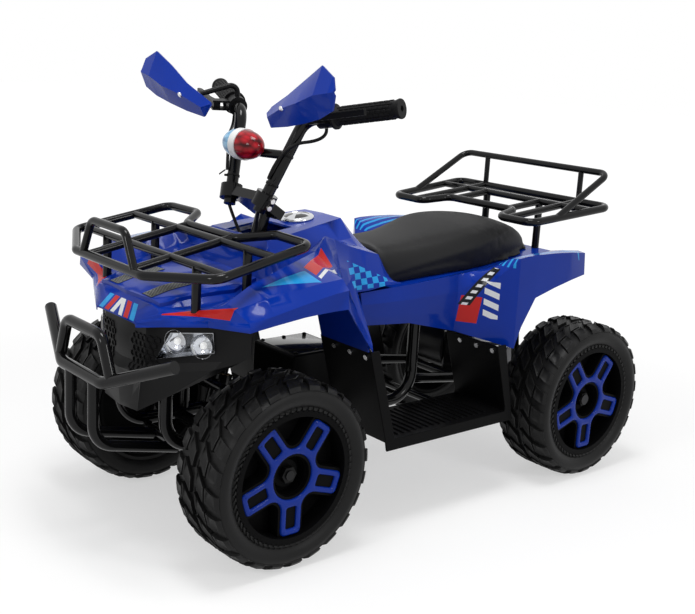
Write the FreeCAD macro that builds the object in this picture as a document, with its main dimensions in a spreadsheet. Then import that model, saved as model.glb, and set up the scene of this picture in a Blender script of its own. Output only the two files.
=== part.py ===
"""Kids quad bike: tube chassis, plastic body, raked steering and a chain-driven rear axle.

Lengths are in millimetres. +X is the rider's left, -Y is the front, Z is up and the tyres stand on Z = 0.
"""
import FreeCAD, Part
import Sketcher
import math
import os
from FreeCAD import Placement, Rotation, Vector

doc = FreeCAD.newDocument("quad_bike")
sheet = doc.addObject("Spreadsheet::Sheet", "Sizes")

SIZES = {
    # Stance of the four wheels and the steering axis
    "tyre_radius": 165,
    "tyre_width": 126,
    "wheelbase": 778,
    "track": 460,
    "front_overhang": 250,
    "rake": 16,
    "column_setback": 10,
    "kingpin_half": 150,
    # Clearances
    "fit_gap": 0.3,
    "running_gap": 0.05,
    "overrun": 6,
    # Tyres
    "bead_radius": 112,
    "bead_half": 49,
    "tread_depth": 7,
    "lug_count": 24,
    "groove_width": 13,
    "crown_half": 12,
    # Rims and their blue trims
    "rim_half": 52,
    "rim_wall": 6,
    "lip_radius": 117,
    "lip_depth": 5,
    "web_inner": 14,
    "web_thickness": 6,
    "hub_radius": 24,
    "hub_inner": 40,
    "hub_outer": 30,
    "spoke_count": 5,
    "spoke_width": 46,
    "spoke_ring": 54,
    "spoke_face": 40,
    "cup_radius": 34,
    "trim_thickness": 5,
    "trim_bore": 38,
    "trim_ring": 51,
    "trim_width": 38,
    "trim_reach": 103,
    "window_width": 17,
    "window_near": 56,
    "window_far": 94,
    "nut_radius": 15,
    "nut_thickness": 11,
    "nut_reach": 44,
    # Front axle and steering
    "beam_radius": 13,
    "king_radius": 7,
    "sleeve_radius": 14,
    "sleeve_half": 22,
    "yoke_thickness": 8,
    "yoke_half": 13,
    "yoke_reach": 32,
    "yoke_web": 10,
    "spindle_radius": 8.5,
    "arm_length": 50,
    "arm_spread": 18,
    "arm_thickness": 6,
    "arm_half": 9,
    "eye_thickness": 12,
    "eye_radius": 9,
    "eye_pin": 4,
    "eye_play": 0.4,
    "rod_radius": 4.5,
    "column_radius": 14,
    "column_low": 46,
    "column_lift": 163.9,
    "bush_radius": 19,
    "bush_length": 26,
    "bush_carrier": 24,
    "bush_low": 90,
    "bush_lift": 77.4,
    # Tube frame
    "rail_radius": 12.5,
    "loop_radius": 12,
    "rail_half": 77,
    "rail_low": 172,
    "rail_bend": 55,
    "post_reach": 123,
    "upright_back": 453,
    "rail_knee_back": 146,
    "cross_radius": 9,
    "cross_bend": 24,
    "outrigger_half": 160,
    "arm_radius": 10.5,
    "arm_rise": 38,
    "stay_radius": 8.5,
    "stay_lead": 32,
    "step_radius": 8,
    "step_half": 236,
    "step_front_back": 266,
    "step_rear_back": 496,
    # Rear drive
    "axle_radius": 11,
    "bearing_radius": 21,
    "bearing_width": 14,
    "carrier_radius": 27,
    "carrier_width": 24,
    "chain_pitch": 8,
    "sprocket_teeth": 44,
    "pinion_teeth": 11,
    "tooth_half": 2.2,
    "sprocket_thickness": 4,
    "sprocket_hub": 20,
    "hub_length": 9,
    "drive_offset": 48,
    "chain_width": 9,
    "chain_depth": 6,
    "motor_lead": 150,
    "motor_rise": 75,
    "motor_radius": 50,
    "motor_length": 96,
    "motor_plate": 5,
    "plate_margin": 8,
    "shaft_radius": 6,
    "shaft_length": 62,
    "disc_radius": 62,
    "disc_thickness": 4,
    "disc_holes": 8,
    "disc_hole": 5,
    "disc_hole_circle": 44,
    "caliper_width": 30,
    "caliper_length": 46,
    "caliper_height": 36,
    "caliper_bite": 14,
    "disc_play": 0.5,
    # Battery
    "box_half": 66,
    "box_length": 128,
    "box_height": 94,
    "box_wall": 4,
    "box_base": 200,
    "box_back": 158.5,
    # Front body moulding
    "skin": 4,
    "nose_overhang": 176.5,
    "front_body_length": 525,
    "fender_half": 285,
    "body_clear": 70,
    "body_rise": 150,
    "recess_half": 44,
    "recess_lead": 247,
    "recess_length": 86,
    "cap_radius": 33,
    "cap_height": 10,
    "cap_back": 200,
    "vent_half": 14,
    "vent_centre": 56,
    "vent_thickness": 3,
    # Rear body moulding and the seat
    "rear_body_back": 243,
    "rear_body_length": 565,
    "rear_half": 252,
    "rear_drop": 70,
    "rear_rise": 160,
    "floor_lift": 8,
    "floor_rise": 47,
    "seat_set": 6,
    "seat_tail": 16.5,
    "seat_half": 130,
    "seat_height": 92,
    "seat_nose_run": 34,
    "seat_nose_tall": 20,
    "seat_nose_lift": 5,
    # Foot wells
    "well_inner": 108,
    "well_outer": 250,
    "well_wall": 4,
    "well_floor": 168,
    "well_front_back": 234,
    "well_rear_back": 556,
    "shield_lean": 51,
    "shield_drop": 54.5,
    "backrest_lean": 39,
    "backrest_drop": 88,
    "backrest_toe": 14,
    "skirt_low": 150,
    "skirt_run": 22,
    "screw_radius": 5,
    "screw_height": 3,
    "screw_drop": 12,
    # Nose panel, lamps and bumper
    "fascia_overhang": 163.5,
    "fascia_half": 238,
    "fascia_depth": 100,
    "fascia_gap": 2,
    "fascia_height": 153,
    "lamp_depth": 13,
    "lamp_proud": 4,
    "tab_half": 58,
    "tab_width": 22,
    "tab_thickness": 5,
    "bumper_radius": 11,
    "hoop_radius": 10,
    "bumper_half": 72,
    "bumper_drop": 93,
    "bumper_end_half": 217,
    "bumper_end_run": 47,
    "bumper_end_rise": 59,
    "bumper_bend": 34,
    "hoop_foot_half": 91,
    "hoop_top_half": 62,
    "hoop_rise": 78,
    "hoop_bend": 24,
    "leg_half": 41,
    "leg_drop": 116,
    "leg_bend": 44,
    "hoop_set": 4,
    "cross_drop": 17,
    # Racks
    "rack_radius": 8,
    "rack_bar": 7,
    "rack_bend": 22,
    "front_rack_half": 238,
    "front_rack_overhang": 192,
    "front_rack_length": 253,
    "front_rack_lift": 91,
    "front_rack_rise": 50,
    "front_hoop_half": 89,
    "front_hoop_top": 58,
    "front_hoop_rise": 62,
    "front_post_half": 150,
    "post_tail": 14,
    "rear_rack_half": 220,
    "rear_rack_tail": 53,
    "rear_rack_length": 225,
    "rear_rack_lift": 139,
    "rear_rack_rise": 23,
    "rail_foot_lead": 68,
    "rail_top_rise": 69,
    "rack_post_lead": 4,
    "post_play": 1,
    # Handlebar and what sits on it
    "bar_radius": 11,
    "bar_bend": 40,
    "bar_foot_half": 46,
    "bar_foot_lead": 46,
    "bar_foot_rise": 5,
    "bar_knee_run": 50,
    "bar_knee_back": 55,
    "bar_knee_rise": 164,
    "bar_end_run": 170,
    "bar_end_back": 64,
    "bar_end_rise": 34,
    "brace_radius": 8,
    "brace_bow": 20,
    "brace_half": 30,
    "clamp_radius": 20,
    "clamp_length": 26,
    "head_half": 42,
    "head_lead": 10,
    "head_trail": 14,
    "head_depth": 18,
    "bolt_radius": 4.5,
    "bolt_height": 5,
    "bolt_spread": 7,
    "grip_start": 61,
    "grip_radius": 16.5,
    "grip_flange": 22,
    "flange_width": 5,
    "grip_over": 5,
    "perch_start": 31,
    "perch_width": 25,
    "perch_radius": 18,
    "lever_lead": 39,
    "lever_length": 106,
    "lever_thickness": 10,
    "ear_thickness": 4,
    "ear_half": 9,
    "lever_pin": 3,
    "bracket_radius": 5,
    "bracket_rise": 42,
    "bracket_lead": 30,
    "bracket_bend": 14,
    "bracket_gap": 4.4,
    "cable_radius": 3,
    "cable_offset": 20,
    "cable_bend": 14,
    "cable_reach": 20,
    "cable_seat": 1.9,
    "cable_clear": 8,
    "cable_lift": 107,
    "cable_lead": 16,
    "guard_inner": 89,
    "guard_width": 203,
    "guard_lift": 157.1,
    "guard_height": 111,
    "guard_lead": 100,
    "guard_depth": 45,
    "guard_wall": 4,
    "siren_radius": 28,
    "siren_half": 52,
    "siren_band": 9,
    "siren_round": 16,
    "siren_lead": 20,
    "siren_rise": 12,
}
for row, (alias, value) in enumerate(SIZES.items(), 1):
    sheet.set(f"A{row}", alias)
    sheet.set(f"B{row}", str(value))
    sheet.setAlias(f"B{row}", alias)
doc.recompute()


def size(alias):
    return float(sheet.get(alias))


def expression(alias):
    return "Sizes." + alias


length = size("front_overhang") + size("wheelbase") + size("tyre_radius")
front_y = size("front_overhang") - length / 2
rear_y = front_y + size("wheelbase")
axle_z = size("tyre_radius")
wheel_x = size("track") / 2
# The body's base line runs a clearance above the tyres, and the levels below follow it.
body_z = 2 * axle_z + size("body_clear")
floor_z = body_z + size("floor_lift")
rear_z = body_z - size("rear_drop")
shield_z = body_z - size("shield_drop")
backrest_z = body_z - size("backrest_drop")
fascia_z = body_z - size("fascia_gap") - size("fascia_height")
bumper_z = body_z - size("bumper_drop")
front_rack_z = body_z + size("front_rack_lift")
rear_rack_z = body_z + size("rear_rack_lift")
gap = size("fit_gap")
play = size("running_gap")
over = size("overrun")
sin_rake = math.sin(math.radians(size("rake")))
cos_rake = math.cos(math.radians(size("rake")))
X = Vector(1, 0, 0)
Y = Vector(0, 1, 0)
Z = Vector(0, 0, 1)
STEER = Vector(0, sin_rake, cos_rake)
TRAIL = Vector(0, cos_rake, -sin_rake)
ORIGIN = Vector(0, 0, 0)
PIECES = []


def keep(piece, label):
    """Names a document object as one of the handed-on pieces."""
    piece.Label = label
    PIECES.append(piece)
    return piece


def feature(label, shape):
    piece = doc.addObject("Part::Feature", label)
    piece.Shape = shape
    piece.Placement = shape.Placement
    return keep(piece, label)


def mirrored(shape):
    return shape.mirror(ORIGIN, X)


def rod(radius, start, end):
    """Straight round bar between two points."""
    run = end - start
    return Part.makeCylinder(radius, run.Length, start, run)


def path(points, bend):
    """Straight runs joined by tangent arcs."""
    edges = []
    start = points[0]
    for before, corner, after in zip(points, points[1:], points[2:]):
        back = (before - corner).normalize()
        ahead = (after - corner).normalize()
        half = back.getAngle(ahead) / 2
        trim = bend / math.tan(half)
        middle = (back + ahead).normalize()
        first = corner + back * trim
        last = corner + ahead * trim
        crown = corner + middle * (bend / math.sin(half) - bend)
        edges.append(Part.LineSegment(start, first).toShape())
        edges.append(Part.Arc(first, crown, last).toShape())
        start = last
    edges.append(Part.LineSegment(start, points[-1]).toShape())
    return Part.Wire(edges)


def tube(radius, points, bend):
    wire = path(points, bend)
    ring = Part.Wire(Part.makeCircle(radius, points[0], points[1] - points[0]))
    return wire.makePipe(Part.Face(ring))


def box(low, high):
    run = high - low
    return Part.makeBox(run.x, run.y, run.z, low)


def fused(shapes):
    return shapes[0].multiFuse(shapes[1:]).removeSplitter()


def prism(points, run):
    """Solid drawn from a flat outline along a straight run."""
    return Part.Face(Part.makePolygon(points + points[:1])).extrude(run)


def inset(points, wall):
    """Flat polyline of (across, up) pairs moved square to itself by a wall thickness."""
    normals = []
    for (x0, z0), (x1, z1) in zip(points, points[1:]):
        run = math.hypot(x1 - x0, z1 - z0)
        normals.append(((z0 - z1) / run, (x1 - x0) / run))
    moved = []
    for index, (x, z) in enumerate(points):
        before = normals[max(index - 1, 0)]
        after = normals[min(index, len(normals) - 1)]
        lean = 1 + before[0] * after[0] + before[1] * after[1]
        moved.append((x + wall * (before[0] + after[0]) / lean, z + wall * (before[1] + after[1]) / lean))
    return moved


def skin_loft(sections):
    """Ruled shell through closed bands, each given as its outer and its inner line of points."""
    wires = []
    for outer, inner in sections:
        ring = outer + inner[::-1]
        wires.append(Part.makePolygon(ring + ring[:1]))
    return Part.makeLoft(wires, True, True)


def both_sides(half):
    """Full line of (across, up) pairs from the half that starts on the middle plane."""
    return [(-x, z) for x, z in half[:0:-1]] + half


def origin_plane(body, role):
    return [plane for plane in body.Origin.OriginFeatures if plane.Role == role][0]


def new_sketch(body, name, role):
    sketch = body.newObject("Sketcher::SketchObject", name)
    sketch.AttachmentSupport = [(origin_plane(body, role), "")]
    sketch.MapMode = "FlatFace"
    return sketch


def draw_outline(sketch, points):
    for start, end in zip(points, points[1:] + points[:1]):
        sketch.addGeometry(Part.LineSegment(Vector(*start, 0), Vector(*end, 0)))


def draw_circle(sketch, alias, name):
    """Circle about the sketch's origin with its radius bound to the sheet."""
    index = sketch.addGeometry(Part.Circle(ORIGIN, Z, size(alias)))
    number = sketch.addConstraint(Sketcher.Constraint("Radius", index, size(alias)))
    sketch.renameConstraint(number, name)
    sketch.setExpression("Constraints." + name, expression(alias))


def pad(body, name, sketch, rule):
    raised = body.newObject("PartDesign::Pad", name)
    raised.Profile = sketch
    raised.setExpression("Length", rule)
    return raised


def polar(body, name, raised, axis_role, count_alias):
    pattern = body.newObject("PartDesign::PolarPattern", name)
    pattern.Originals = [raised]
    pattern.Axis = (origin_plane(body, axis_role), [""])
    pattern.Angle = 360
    pattern.setExpression("Occurrences", expression(count_alias))
    body.Tip = pattern
    return pattern


def column_point(along):
    """Point of the steering axis, measured up it from axle height."""
    return Vector(0, front_y + size("column_setback"), axle_z) + STEER * along


def level_point(z):
    """Point of the steering axis at a height above the ground."""
    return column_point((z - axle_z) / cos_rake)


def kingpin_point(along):
    return Vector(size("kingpin_half"), front_y, axle_z) + STEER * along


# Tyre: rounded carcass with staggered shoulder blocks either side of an unbroken crown.
def tyre_shape():
    half = size("tyre_width") / 2
    wall = half - size("bead_half")
    rise = size("tyre_radius") - size("bead_radius")
    bead = size("bead_radius") + gap
    side_shares = [(0, 0), (0, 0.11), (1, 0.5), (0.62, 0.86), (-0.3, 0.965)]
    right = [Vector(size("bead_half") + wall * x, bead + (rise - gap) * r, 0) for x, r in side_shares]
    left = [Vector(-p.x, p.y, 0) for p in right]
    crown = [Vector(side * size("crown_half"), size("tyre_radius"), 0) for side in (-1, 1)]
    edges = [
        Part.LineSegment(left[0], right[0]).toShape(),
        Part.LineSegment(right[0], right[1]).toShape(),
        Part.Arc(right[1], right[2], right[3]).toShape(),
        Part.LineSegment(right[3], right[4]).toShape(),
        Part.LineSegment(right[4], crown[1]).toShape(),
        Part.LineSegment(crown[1], crown[0]).toShape(),
        Part.LineSegment(crown[0], left[4]).toShape(),
        Part.LineSegment(left[4], left[3]).toShape(),
        Part.Arc(left[3], left[2], left[1]).toShape(),
        Part.LineSegment(left[1], left[0]).toShape(),
    ]
    carcass = Part.Face(Part.Wire(edges)).revolve(ORIGIN, X, 360)
    cuts = []
    count = int(size("lug_count"))
    deep = size("tyre_radius") - size("tread_depth")
    for index in range(2 * count):
        side = 1 if index % 2 else -1
        near = size("crown_half") if side > 0 else -half - over
        groove = Part.makeBox(half + over - size("crown_half"), size("groove_width"), size("tread_depth") + over,
                              Vector(near, -size("groove_width") / 2, deep))
        groove.rotate(ORIGIN, X, 180 * (index + 0.5) / count)
        cuts.append(groove)
    return carcass.cut(Part.makeCompound(cuts))


# Rim: barrel, web and hub turned in one, with a raised black star in front of the web.
def rim_body(name, bore):
    body = doc.addObject("PartDesign::Body", name)
    barrel = size("bead_radius")
    inner = barrel - size("rim_wall")
    web_out = size("web_inner") + size("web_thickness")
    profile = new_sketch(body, name + "_profile", "XY_Plane")
    draw_outline(profile, [
        (-size("hub_inner"), bore), (-size("hub_inner"), size("hub_radius")),
        (size("web_inner"), size("hub_radius")), (size("web_inner"), inner),
        (-size("rim_half"), inner), (-size("rim_half"), barrel),
        (size("bead_half") + gap, barrel), (size("bead_half") + gap, size("lip_radius")),
        (size("rim_half") + size("lip_depth"), size("lip_radius")),
        (size("rim_half") + size("lip_depth"), inner),
        (web_out, inner), (web_out, size("hub_radius")),
        (size("hub_outer"), size("hub_radius")), (size("hub_outer"), bore),
    ])
    turned = body.newObject("PartDesign::Revolution", name + "_turned")
    turned.Profile = profile
    turned.ReferenceAxis = (profile, ["H_Axis"])
    turned.Angle = 360
    ring = new_sketch(body, name + "_ring_sketch", "YZ_Plane")
    ring.AttachmentOffset = Placement(Vector(0, 0, size("web_inner")), Rotation())
    draw_circle(ring, "spoke_ring", "outer_edge")
    draw_circle(ring, "cup_radius", "inner_edge")
    pad(body, name + "_ring", ring, "Sizes.spoke_face - Sizes.web_inner")
    spoke = new_sketch(body, name + "_spoke_sketch", "YZ_Plane")
    spoke.AttachmentOffset = Placement(Vector(0, 0, size("web_inner")), Rotation())
    half = size("spoke_width") / 2
    near = (size("cup_radius") + size("spoke_ring")) / 2
    far = barrel - size("rim_wall") / 2
    draw_outline(spoke, [(-half, near), (half, near), (half, far), (-half, far)])
    raised = pad(body, name + "_spoke", spoke, "Sizes.spoke_face - Sizes.web_inner")
    polar(body, name + "_spokes", raised, "X_Axis", "spoke_count")
    return body


# Trim: blue five-spoke star that clips onto the rim's black star.
def trim_body(name):
    body = doc.addObject("PartDesign::Body", name)
    ring = new_sketch(body, name + "_ring_sketch", "YZ_Plane")
    draw_circle(ring, "trim_ring", "outer_edge")
    draw_circle(ring, "trim_bore", "inner_edge")
    pad(body, name + "_ring", ring, expression("trim_thickness"))
    spoke = new_sketch(body, name + "_spoke_sketch", "YZ_Plane")
    half = size("trim_width") / 2
    slot = size("window_width") / 2
    near = (size("trim_bore") + size("trim_ring")) / 2
    draw_outline(spoke, [(-half, near), (half, near), (half, size("trim_reach")), (-half, size("trim_reach"))])
    draw_outline(spoke, [(-slot, size("window_near")), (slot, size("window_near")),
                         (slot, size("window_far")), (-slot, size("window_far"))])
    raised = pad(body, name + "_spoke", spoke, expression("trim_thickness"))
    polar(body, name + "_spokes", raised, "X_Axis", "spoke_count")
    return body


def wheel_place(side, y, out):
    """Place of a wheel piece: its own +X points away from the vehicle and its first spoke down."""
    turn = Rotation(X, 180) if side > 0 else Rotation(Y, 180)
    return Placement(Vector(side * (wheel_x + out), y, axle_z), turn)


tyre = tyre_shape()
for end, y, bore in (("front", front_y, size("spindle_radius") + play), ("rear", rear_y, size("axle_radius"))):
    for hand, side in (("left", 1), ("right", -1)):
        name = end + "_" + hand
        rubber = feature("tyre_" + name, tyre)
        rubber.Placement = wheel_place(side, y, 0)
        rim = keep(rim_body("rim_" + name, bore), "rim_" + name)
        rim.Placement = wheel_place(side, y, 0)
        trim = keep(trim_body("spoke_trim_" + name), "spoke_trim_" + name)
        trim.Placement = wheel_place(side, y, size("spoke_face") + gap)


# Wheel nuts: hexagons that hold the hubs on the spindles and on the rear axle.
def nut_shape(bore, side, y):
    corners = []
    for step in range(6):
        turn = math.radians(60 * step)
        corners.append(Vector(0, size("nut_radius") * math.cos(turn), size("nut_radius") * math.sin(turn)))
    nut = prism(corners, X * size("nut_thickness"))
    nut = nut.cut(rod(bore, X * -over, X * (size("nut_thickness") + over)))
    nut.Placement = wheel_place(side, y, size("hub_outer") + gap)
    return nut


feature("wheel_nut_front_left", nut_shape(size("spindle_radius"), 1, front_y))
feature("wheel_nut_front_right", nut_shape(size("spindle_radius"), -1, front_y))
nuts = [nut_shape(size("axle_radius"), side, rear_y) for side in (1, -1)]
feature("wheel_nuts_rear", Part.makeCompound(nuts))

# Rear axle: one ground bar from wheel nut to wheel nut.
axle = doc.addObject("Part::Cylinder", "rear_axle")
axle.setExpression("Radius", expression("axle_radius"))
axle.setExpression("Height", "Sizes.track + 2 * Sizes.nut_reach")
axle.Placement = Placement(Vector(-wheel_x - size("nut_reach"), rear_y, axle_z), Rotation(Z, X))
keep(axle, "rear_axle")


# Chain wheels: a toothed disc each, on the axle and on the motor's shaft.
def pitch_radius(teeth):
    return size("chain_pitch") / (2 * math.sin(math.pi / teeth))


def tooth_points(teeth):
    pitch = pitch_radius(teeth)
    points = []
    tooth_shares = [(-0.42, -1), (-0.16, 1), (0.16, 1), (0.42, -1)]
    for tooth in range(int(teeth)):
        for across, up in tooth_shares:
            turn = 2 * math.pi * (tooth + across) / teeth
            reach = pitch + up * size("tooth_half")
            points.append((reach * math.cos(turn), reach * math.sin(turn)))
    return points


sprocket = doc.addObject("PartDesign::Body", "axle_sprocket")
toothed = new_sketch(sprocket, "sprocket_teeth_sketch", "YZ_Plane")
draw_outline(toothed, tooth_points(size("sprocket_teeth")))
draw_circle(toothed, "axle_radius", "bore")
pad(sprocket, "sprocket_plate", toothed, expression("sprocket_thickness"))
collar = new_sketch(sprocket, "sprocket_hub_sketch", "YZ_Plane")
draw_circle(collar, "sprocket_hub", "hub_edge")
draw_circle(collar, "axle_radius", "bore")
hub = pad(sprocket, "sprocket_collar", collar, expression("hub_length"))
hub.Reversed = True
sprocket_x = size("drive_offset") - size("sprocket_thickness") / 2
sprocket.Placement = Placement(Vector(sprocket_x, rear_y, axle_z), Rotation())
keep(sprocket, "axle_sprocket")

# Brake disc: drilled plate with a collar on the axle.
disc = doc.addObject("PartDesign::Body", "brake_disc")
plate_sketch = new_sketch(disc, "disc_plate_sketch", "YZ_Plane")
draw_circle(plate_sketch, "disc_radius", "rim_edge")
draw_circle(plate_sketch, "axle_radius", "bore")
pad(disc, "disc_plate", plate_sketch, expression("disc_thickness"))
collar = new_sketch(disc, "disc_hub_sketch", "YZ_Plane")
draw_circle(collar, "sprocket_hub", "hub_edge")
draw_circle(collar, "axle_radius", "bore")
pad(disc, "disc_collar", collar, "Sizes.disc_thickness + Sizes.hub_length")
drill = new_sketch(disc, "disc_hole_sketch", "YZ_Plane")
drill.addGeometry(Part.Circle(Vector(size("disc_hole_circle"), 0, 0), Z, size("disc_hole")))
pocket = disc.newObject("PartDesign::Pocket", "disc_hole")
pocket.Profile = drill
pocket.Type = "ThroughAll"
pocket.Midplane = True
polar(disc, "disc_holes", pocket, "X_Axis", "disc_holes")
disc_x = -size("drive_offset") - size("disc_thickness") / 2
disc.Placement = Placement(Vector(disc_x, rear_y, axle_z), Rotation())
keep(disc, "brake_disc")

# Brake caliper: block that straddles the top of the disc.
bite_z = axle_z + size("disc_radius") - size("caliper_bite")
caliper_x = -size("drive_offset") - size("caliper_width") / 2
caliper = box(Vector(caliper_x, rear_y - size("caliper_length") / 2, bite_z),
              Vector(-size("drive_offset") + size("caliper_width") / 2, rear_y + size("caliper_length") / 2,
                     bite_z + size("caliper_height")))
slot_half = size("disc_thickness") / 2 + size("disc_play")
slot = rod(size("disc_radius") + size("disc_play"), Vector(-size("drive_offset") - slot_half, rear_y, axle_z),
           Vector(-size("drive_offset") + slot_half, rear_y, axle_z))
feature("brake_caliper", caliper.cut(slot))

# Motor with its shaft and pinion, and the chain that runs round both chain wheels.
motor_y = rear_y - size("motor_lead")
motor_z = axle_z + size("motor_rise")
plate_x = size("drive_offset") - size("chain_width") / 2 - size("motor_plate") - over
motor_face = Vector(plate_x, motor_y, motor_z)
can = rod(size("motor_radius"), motor_face - X * size("motor_length"), motor_face)
shaft_bore = rod(size("shaft_radius") + play, motor_face - X * size("shaft_length") / 2, motor_face + X * over)
feature("motor", can.cut(shaft_bore))
pinion_ring = [Vector(0, y, z) for y, z in tooth_points(size("pinion_teeth"))]
pinion_plate = prism(pinion_ring, X * size("sprocket_thickness"))
pinion_plate.translate(Vector(size("drive_offset") - size("sprocket_thickness") / 2, motor_y, motor_z))
shaft = rod(size("shaft_radius"), motor_face - X * (size("shaft_length") / 2 - gap),
            Vector(size("drive_offset") + size("chain_width") / 2, motor_y, motor_z))
feature("motor_pinion", fused([pinion_plate, shaft]))


def chain_outline(extra):
    """Closed belt line round both chain wheels, on the plane X = 0."""
    big = pitch_radius(size("sprocket_teeth")) + size("tooth_half") + extra
    small = pitch_radius(size("pinion_teeth")) + size("tooth_half") + extra
    start = Vector(0, rear_y, axle_z)
    run = Vector(0, motor_y, motor_z) - start
    lean = math.acos((big - small) / run.Length)
    along = Vector(run).normalize()
    spots = []
    for sign in (1, -1):
        out = Rotation(X, math.degrees(sign * lean)).multVec(along)
        spots.append((start + out * big, start + run + out * small))
    (big_top, small_top), (big_low, small_low) = spots
    return Part.Wire([
        Part.LineSegment(big_top, small_top).toShape(),
        Part.Arc(small_top, start + run + along * small, small_low).toShape(),
        Part.LineSegment(small_low, big_low).toShape(),
        Part.Arc(big_low, start - along * big, big_top).toShape(),
    ])


belt = Part.Face(chain_outline(gap + size("chain_depth"))).cut(Part.Face(chain_outline(gap)))
chain = belt.extrude(X * size("chain_width"))
chain.translate(X * (size("drive_offset") - size("chain_width") / 2))
feature("drive_chain", chain)

# Axle bearings: two rings in the frame's carriers.
rings = []
for side in (1, -1):
    middle = Vector(side * size("rail_half"), rear_y, axle_z)
    reach = X * (size("bearing_width") / 2)
    ring = rod(size("bearing_radius"), middle - reach, middle + reach)
    rings.append(ring.cut(rod(size("axle_radius") + play, middle - reach * 2, middle + reach * 2)))
feature("axle_bearings", Part.makeCompound(rings))

# Column bushes: two plain rings that carry the steering column.
bush_levels = (size("bush_low"), (body_z + size("bush_lift") - axle_z) / cos_rake)
rings = []
for level in bush_levels:
    low = column_point(level - size("bush_length") / 2)
    high = column_point(level + size("bush_length") / 2)
    bore = rod(size("column_radius") + play, low - STEER * over, high + STEER * over)
    rings.append(rod(size("bush_radius"), low, high).cut(bore))
feature("column_bushes", Part.makeCompound(rings))


# Seat deck line: the top of the rear moulding's floor, which lies on the seat rails.
deck_front_y = front_y + size("rear_body_back")
body_end_y = deck_front_y + size("rear_body_length")
deck_slope = size("floor_rise") / size("rear_body_length")


def deck_z(y):
    return floor_z + deck_slope * (y - deck_front_y)


def rail_z(y):
    return deck_z(y) - size("skin") - gap - size("rail_radius") * math.hypot(1, deck_slope)


knee_y = front_y + size("rail_knee_back")
rail_front_z = rail_z(knee_y)
post_y = front_y - size("post_reach")
upright_y = front_y + size("upright_back")
rack_post_y = body_end_y - size("rack_post_lead")
rail_end_y = rack_post_y + size("rail_radius")
front_rack_slope = size("front_rack_rise") / size("front_rack_length")
front_rack_y = front_y - size("front_rack_overhang")
post_shares = (0.31, 0.7)
front_post_ys = [front_rack_y + share * size("front_rack_length") for share in post_shares]
fascia_y = front_y - size("fascia_overhang")
cross_y = post_y + size("rail_bend")
cross_z = size("rail_low") - size("cross_drop")
arm_z = size("rail_low") + size("arm_rise")

# Nose panel levels, top to bottom: share of the height, slope toward the back, then the half outline as
# (across, back) shares.
FASCIA_SHARES = [
    (1.0, 0.2, [(0, 0), (0.294, 0.05), (0.84, 0.7), (1, 1)]),
    (0.523, 0.45, [(0, 0), (0.294, 0.05), (0.84, 0.7), (1, 1)]),
    (0.438, 0.5, [(0, -0.09), (0.294, -0.03), (0.81, 0.6), (0.93, 0.88)]),
    (0.0, 1.25, [(0, -0.05), (0.24, -0.02), (0.44, 0.24), (0.5, 0.32)]),
]
tab_share = (size("tab_half") + size("tab_width") / 2) / (FASCIA_SHARES[0][2][1][0] * size("fascia_half"))
tab_y = fascia_y + tab_share * FASCIA_SHARES[0][2][1][1] * size("fascia_depth") + size("skin") + 2 * gap


# Frame: welded tubes, with the front beam, bearing carriers, motor plate and small brackets.
def arch(y, low, high):
    """Inverted U of cross tube that stands on both side loops."""
    half = size("rail_half")
    return tube(size("cross_radius"), [Vector(-half, y, low), Vector(-half, y, high), Vector(half, y, high),
                                       Vector(half, y, low)], size("cross_bend"))


def cross(y, z, half, radius):
    return rod(radius, Vector(-half, y, z), Vector(half, y, z))


def arm_height(y):
    return arm_z + (axle_z - arm_z) * (y - upright_y) / (rear_y - upright_y)


tubes = []
bores = []
for side in (1, -1):
    x = side * size("rail_half")
    tubes.append(tube(size("rail_radius"), [
        Vector(x, post_y - size("rail_radius"), rail_front_z), Vector(x, knee_y, rail_front_z),
        Vector(x, rail_end_y, rail_z(rail_end_y))], size("rail_bend")))
    tubes.append(tube(size("loop_radius"), [
        Vector(x, post_y, rail_front_z), Vector(x, post_y, size("rail_low")),
        Vector(x, upright_y, size("rail_low")), Vector(x, upright_y, rail_z(upright_y))], size("rail_bend")))
    tubes.append(rod(size("arm_radius"), Vector(x, upright_y, arm_z), Vector(x, rear_y, axle_z)))
    stay_y = rear_y - size("stay_lead")
    tubes.append(rod(size("stay_radius"), Vector(x, rear_y, axle_z), Vector(x, stay_y, rail_z(stay_y))))
    reach = X * (size("carrier_width") / 2)
    hub_spot = Vector(x, rear_y, axle_z)
    tubes.append(rod(size("carrier_radius"), hub_spot - reach, hub_spot + reach))
    bores.append(rod(size("bearing_radius"), hub_spot - reach * 2, hub_spot + reach * 2))
    king = Vector(side * size("kingpin_half"), front_y, axle_z)
    sleeve = STEER * size("sleeve_half")
    tubes.append(rod(size("sleeve_radius"), king - sleeve, king + sleeve))
    bores.append(rod(size("king_radius") + play, king - sleeve * 2, king + sleeve * 2))
tubes.append(cross(front_y, axle_z, size("kingpin_half"), size("beam_radius")))
tubes.append(cross(cross_y, cross_z, size("rail_half"), size("cross_radius")))
tubes.append(cross(front_post_ys[-1], rail_front_z, size("outrigger_half"), size("cross_radius")))
step_z = size("well_floor") - gap - size("step_radius")
for alias in ("step_front_back", "step_rear_back"):
    tubes.append(cross(front_y + size(alias), step_z, size("step_half"), size("step_radius")))
for level, foot in zip(bush_levels, (size("rail_low"), rail_front_z)):
    middle = column_point(level)
    along = STEER * (size("bush_length") / 2)
    tubes.append(arch(middle.y - size("bush_carrier"), foot, middle.z))
    tubes.append(rod(size("bush_carrier"), middle - along, middle + along))
    bores.append(rod(size("bush_radius"), middle - along * 2, middle + along * 2))
box_y = front_y + size("box_back")
rest_z = size("box_base") - gap - size("cross_radius")
rest_shares = (0.25, 0.85)
for share in rest_shares:
    tubes.append(cross(box_y + share * size("box_length"), rest_z, size("rail_half"), size("cross_radius")))
margin = size("motor_radius") - size("plate_margin")
brace_y = motor_y - margin
tubes.append(cross(brace_y, arm_height(brace_y), size("rail_half"), size("cross_radius")))
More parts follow.
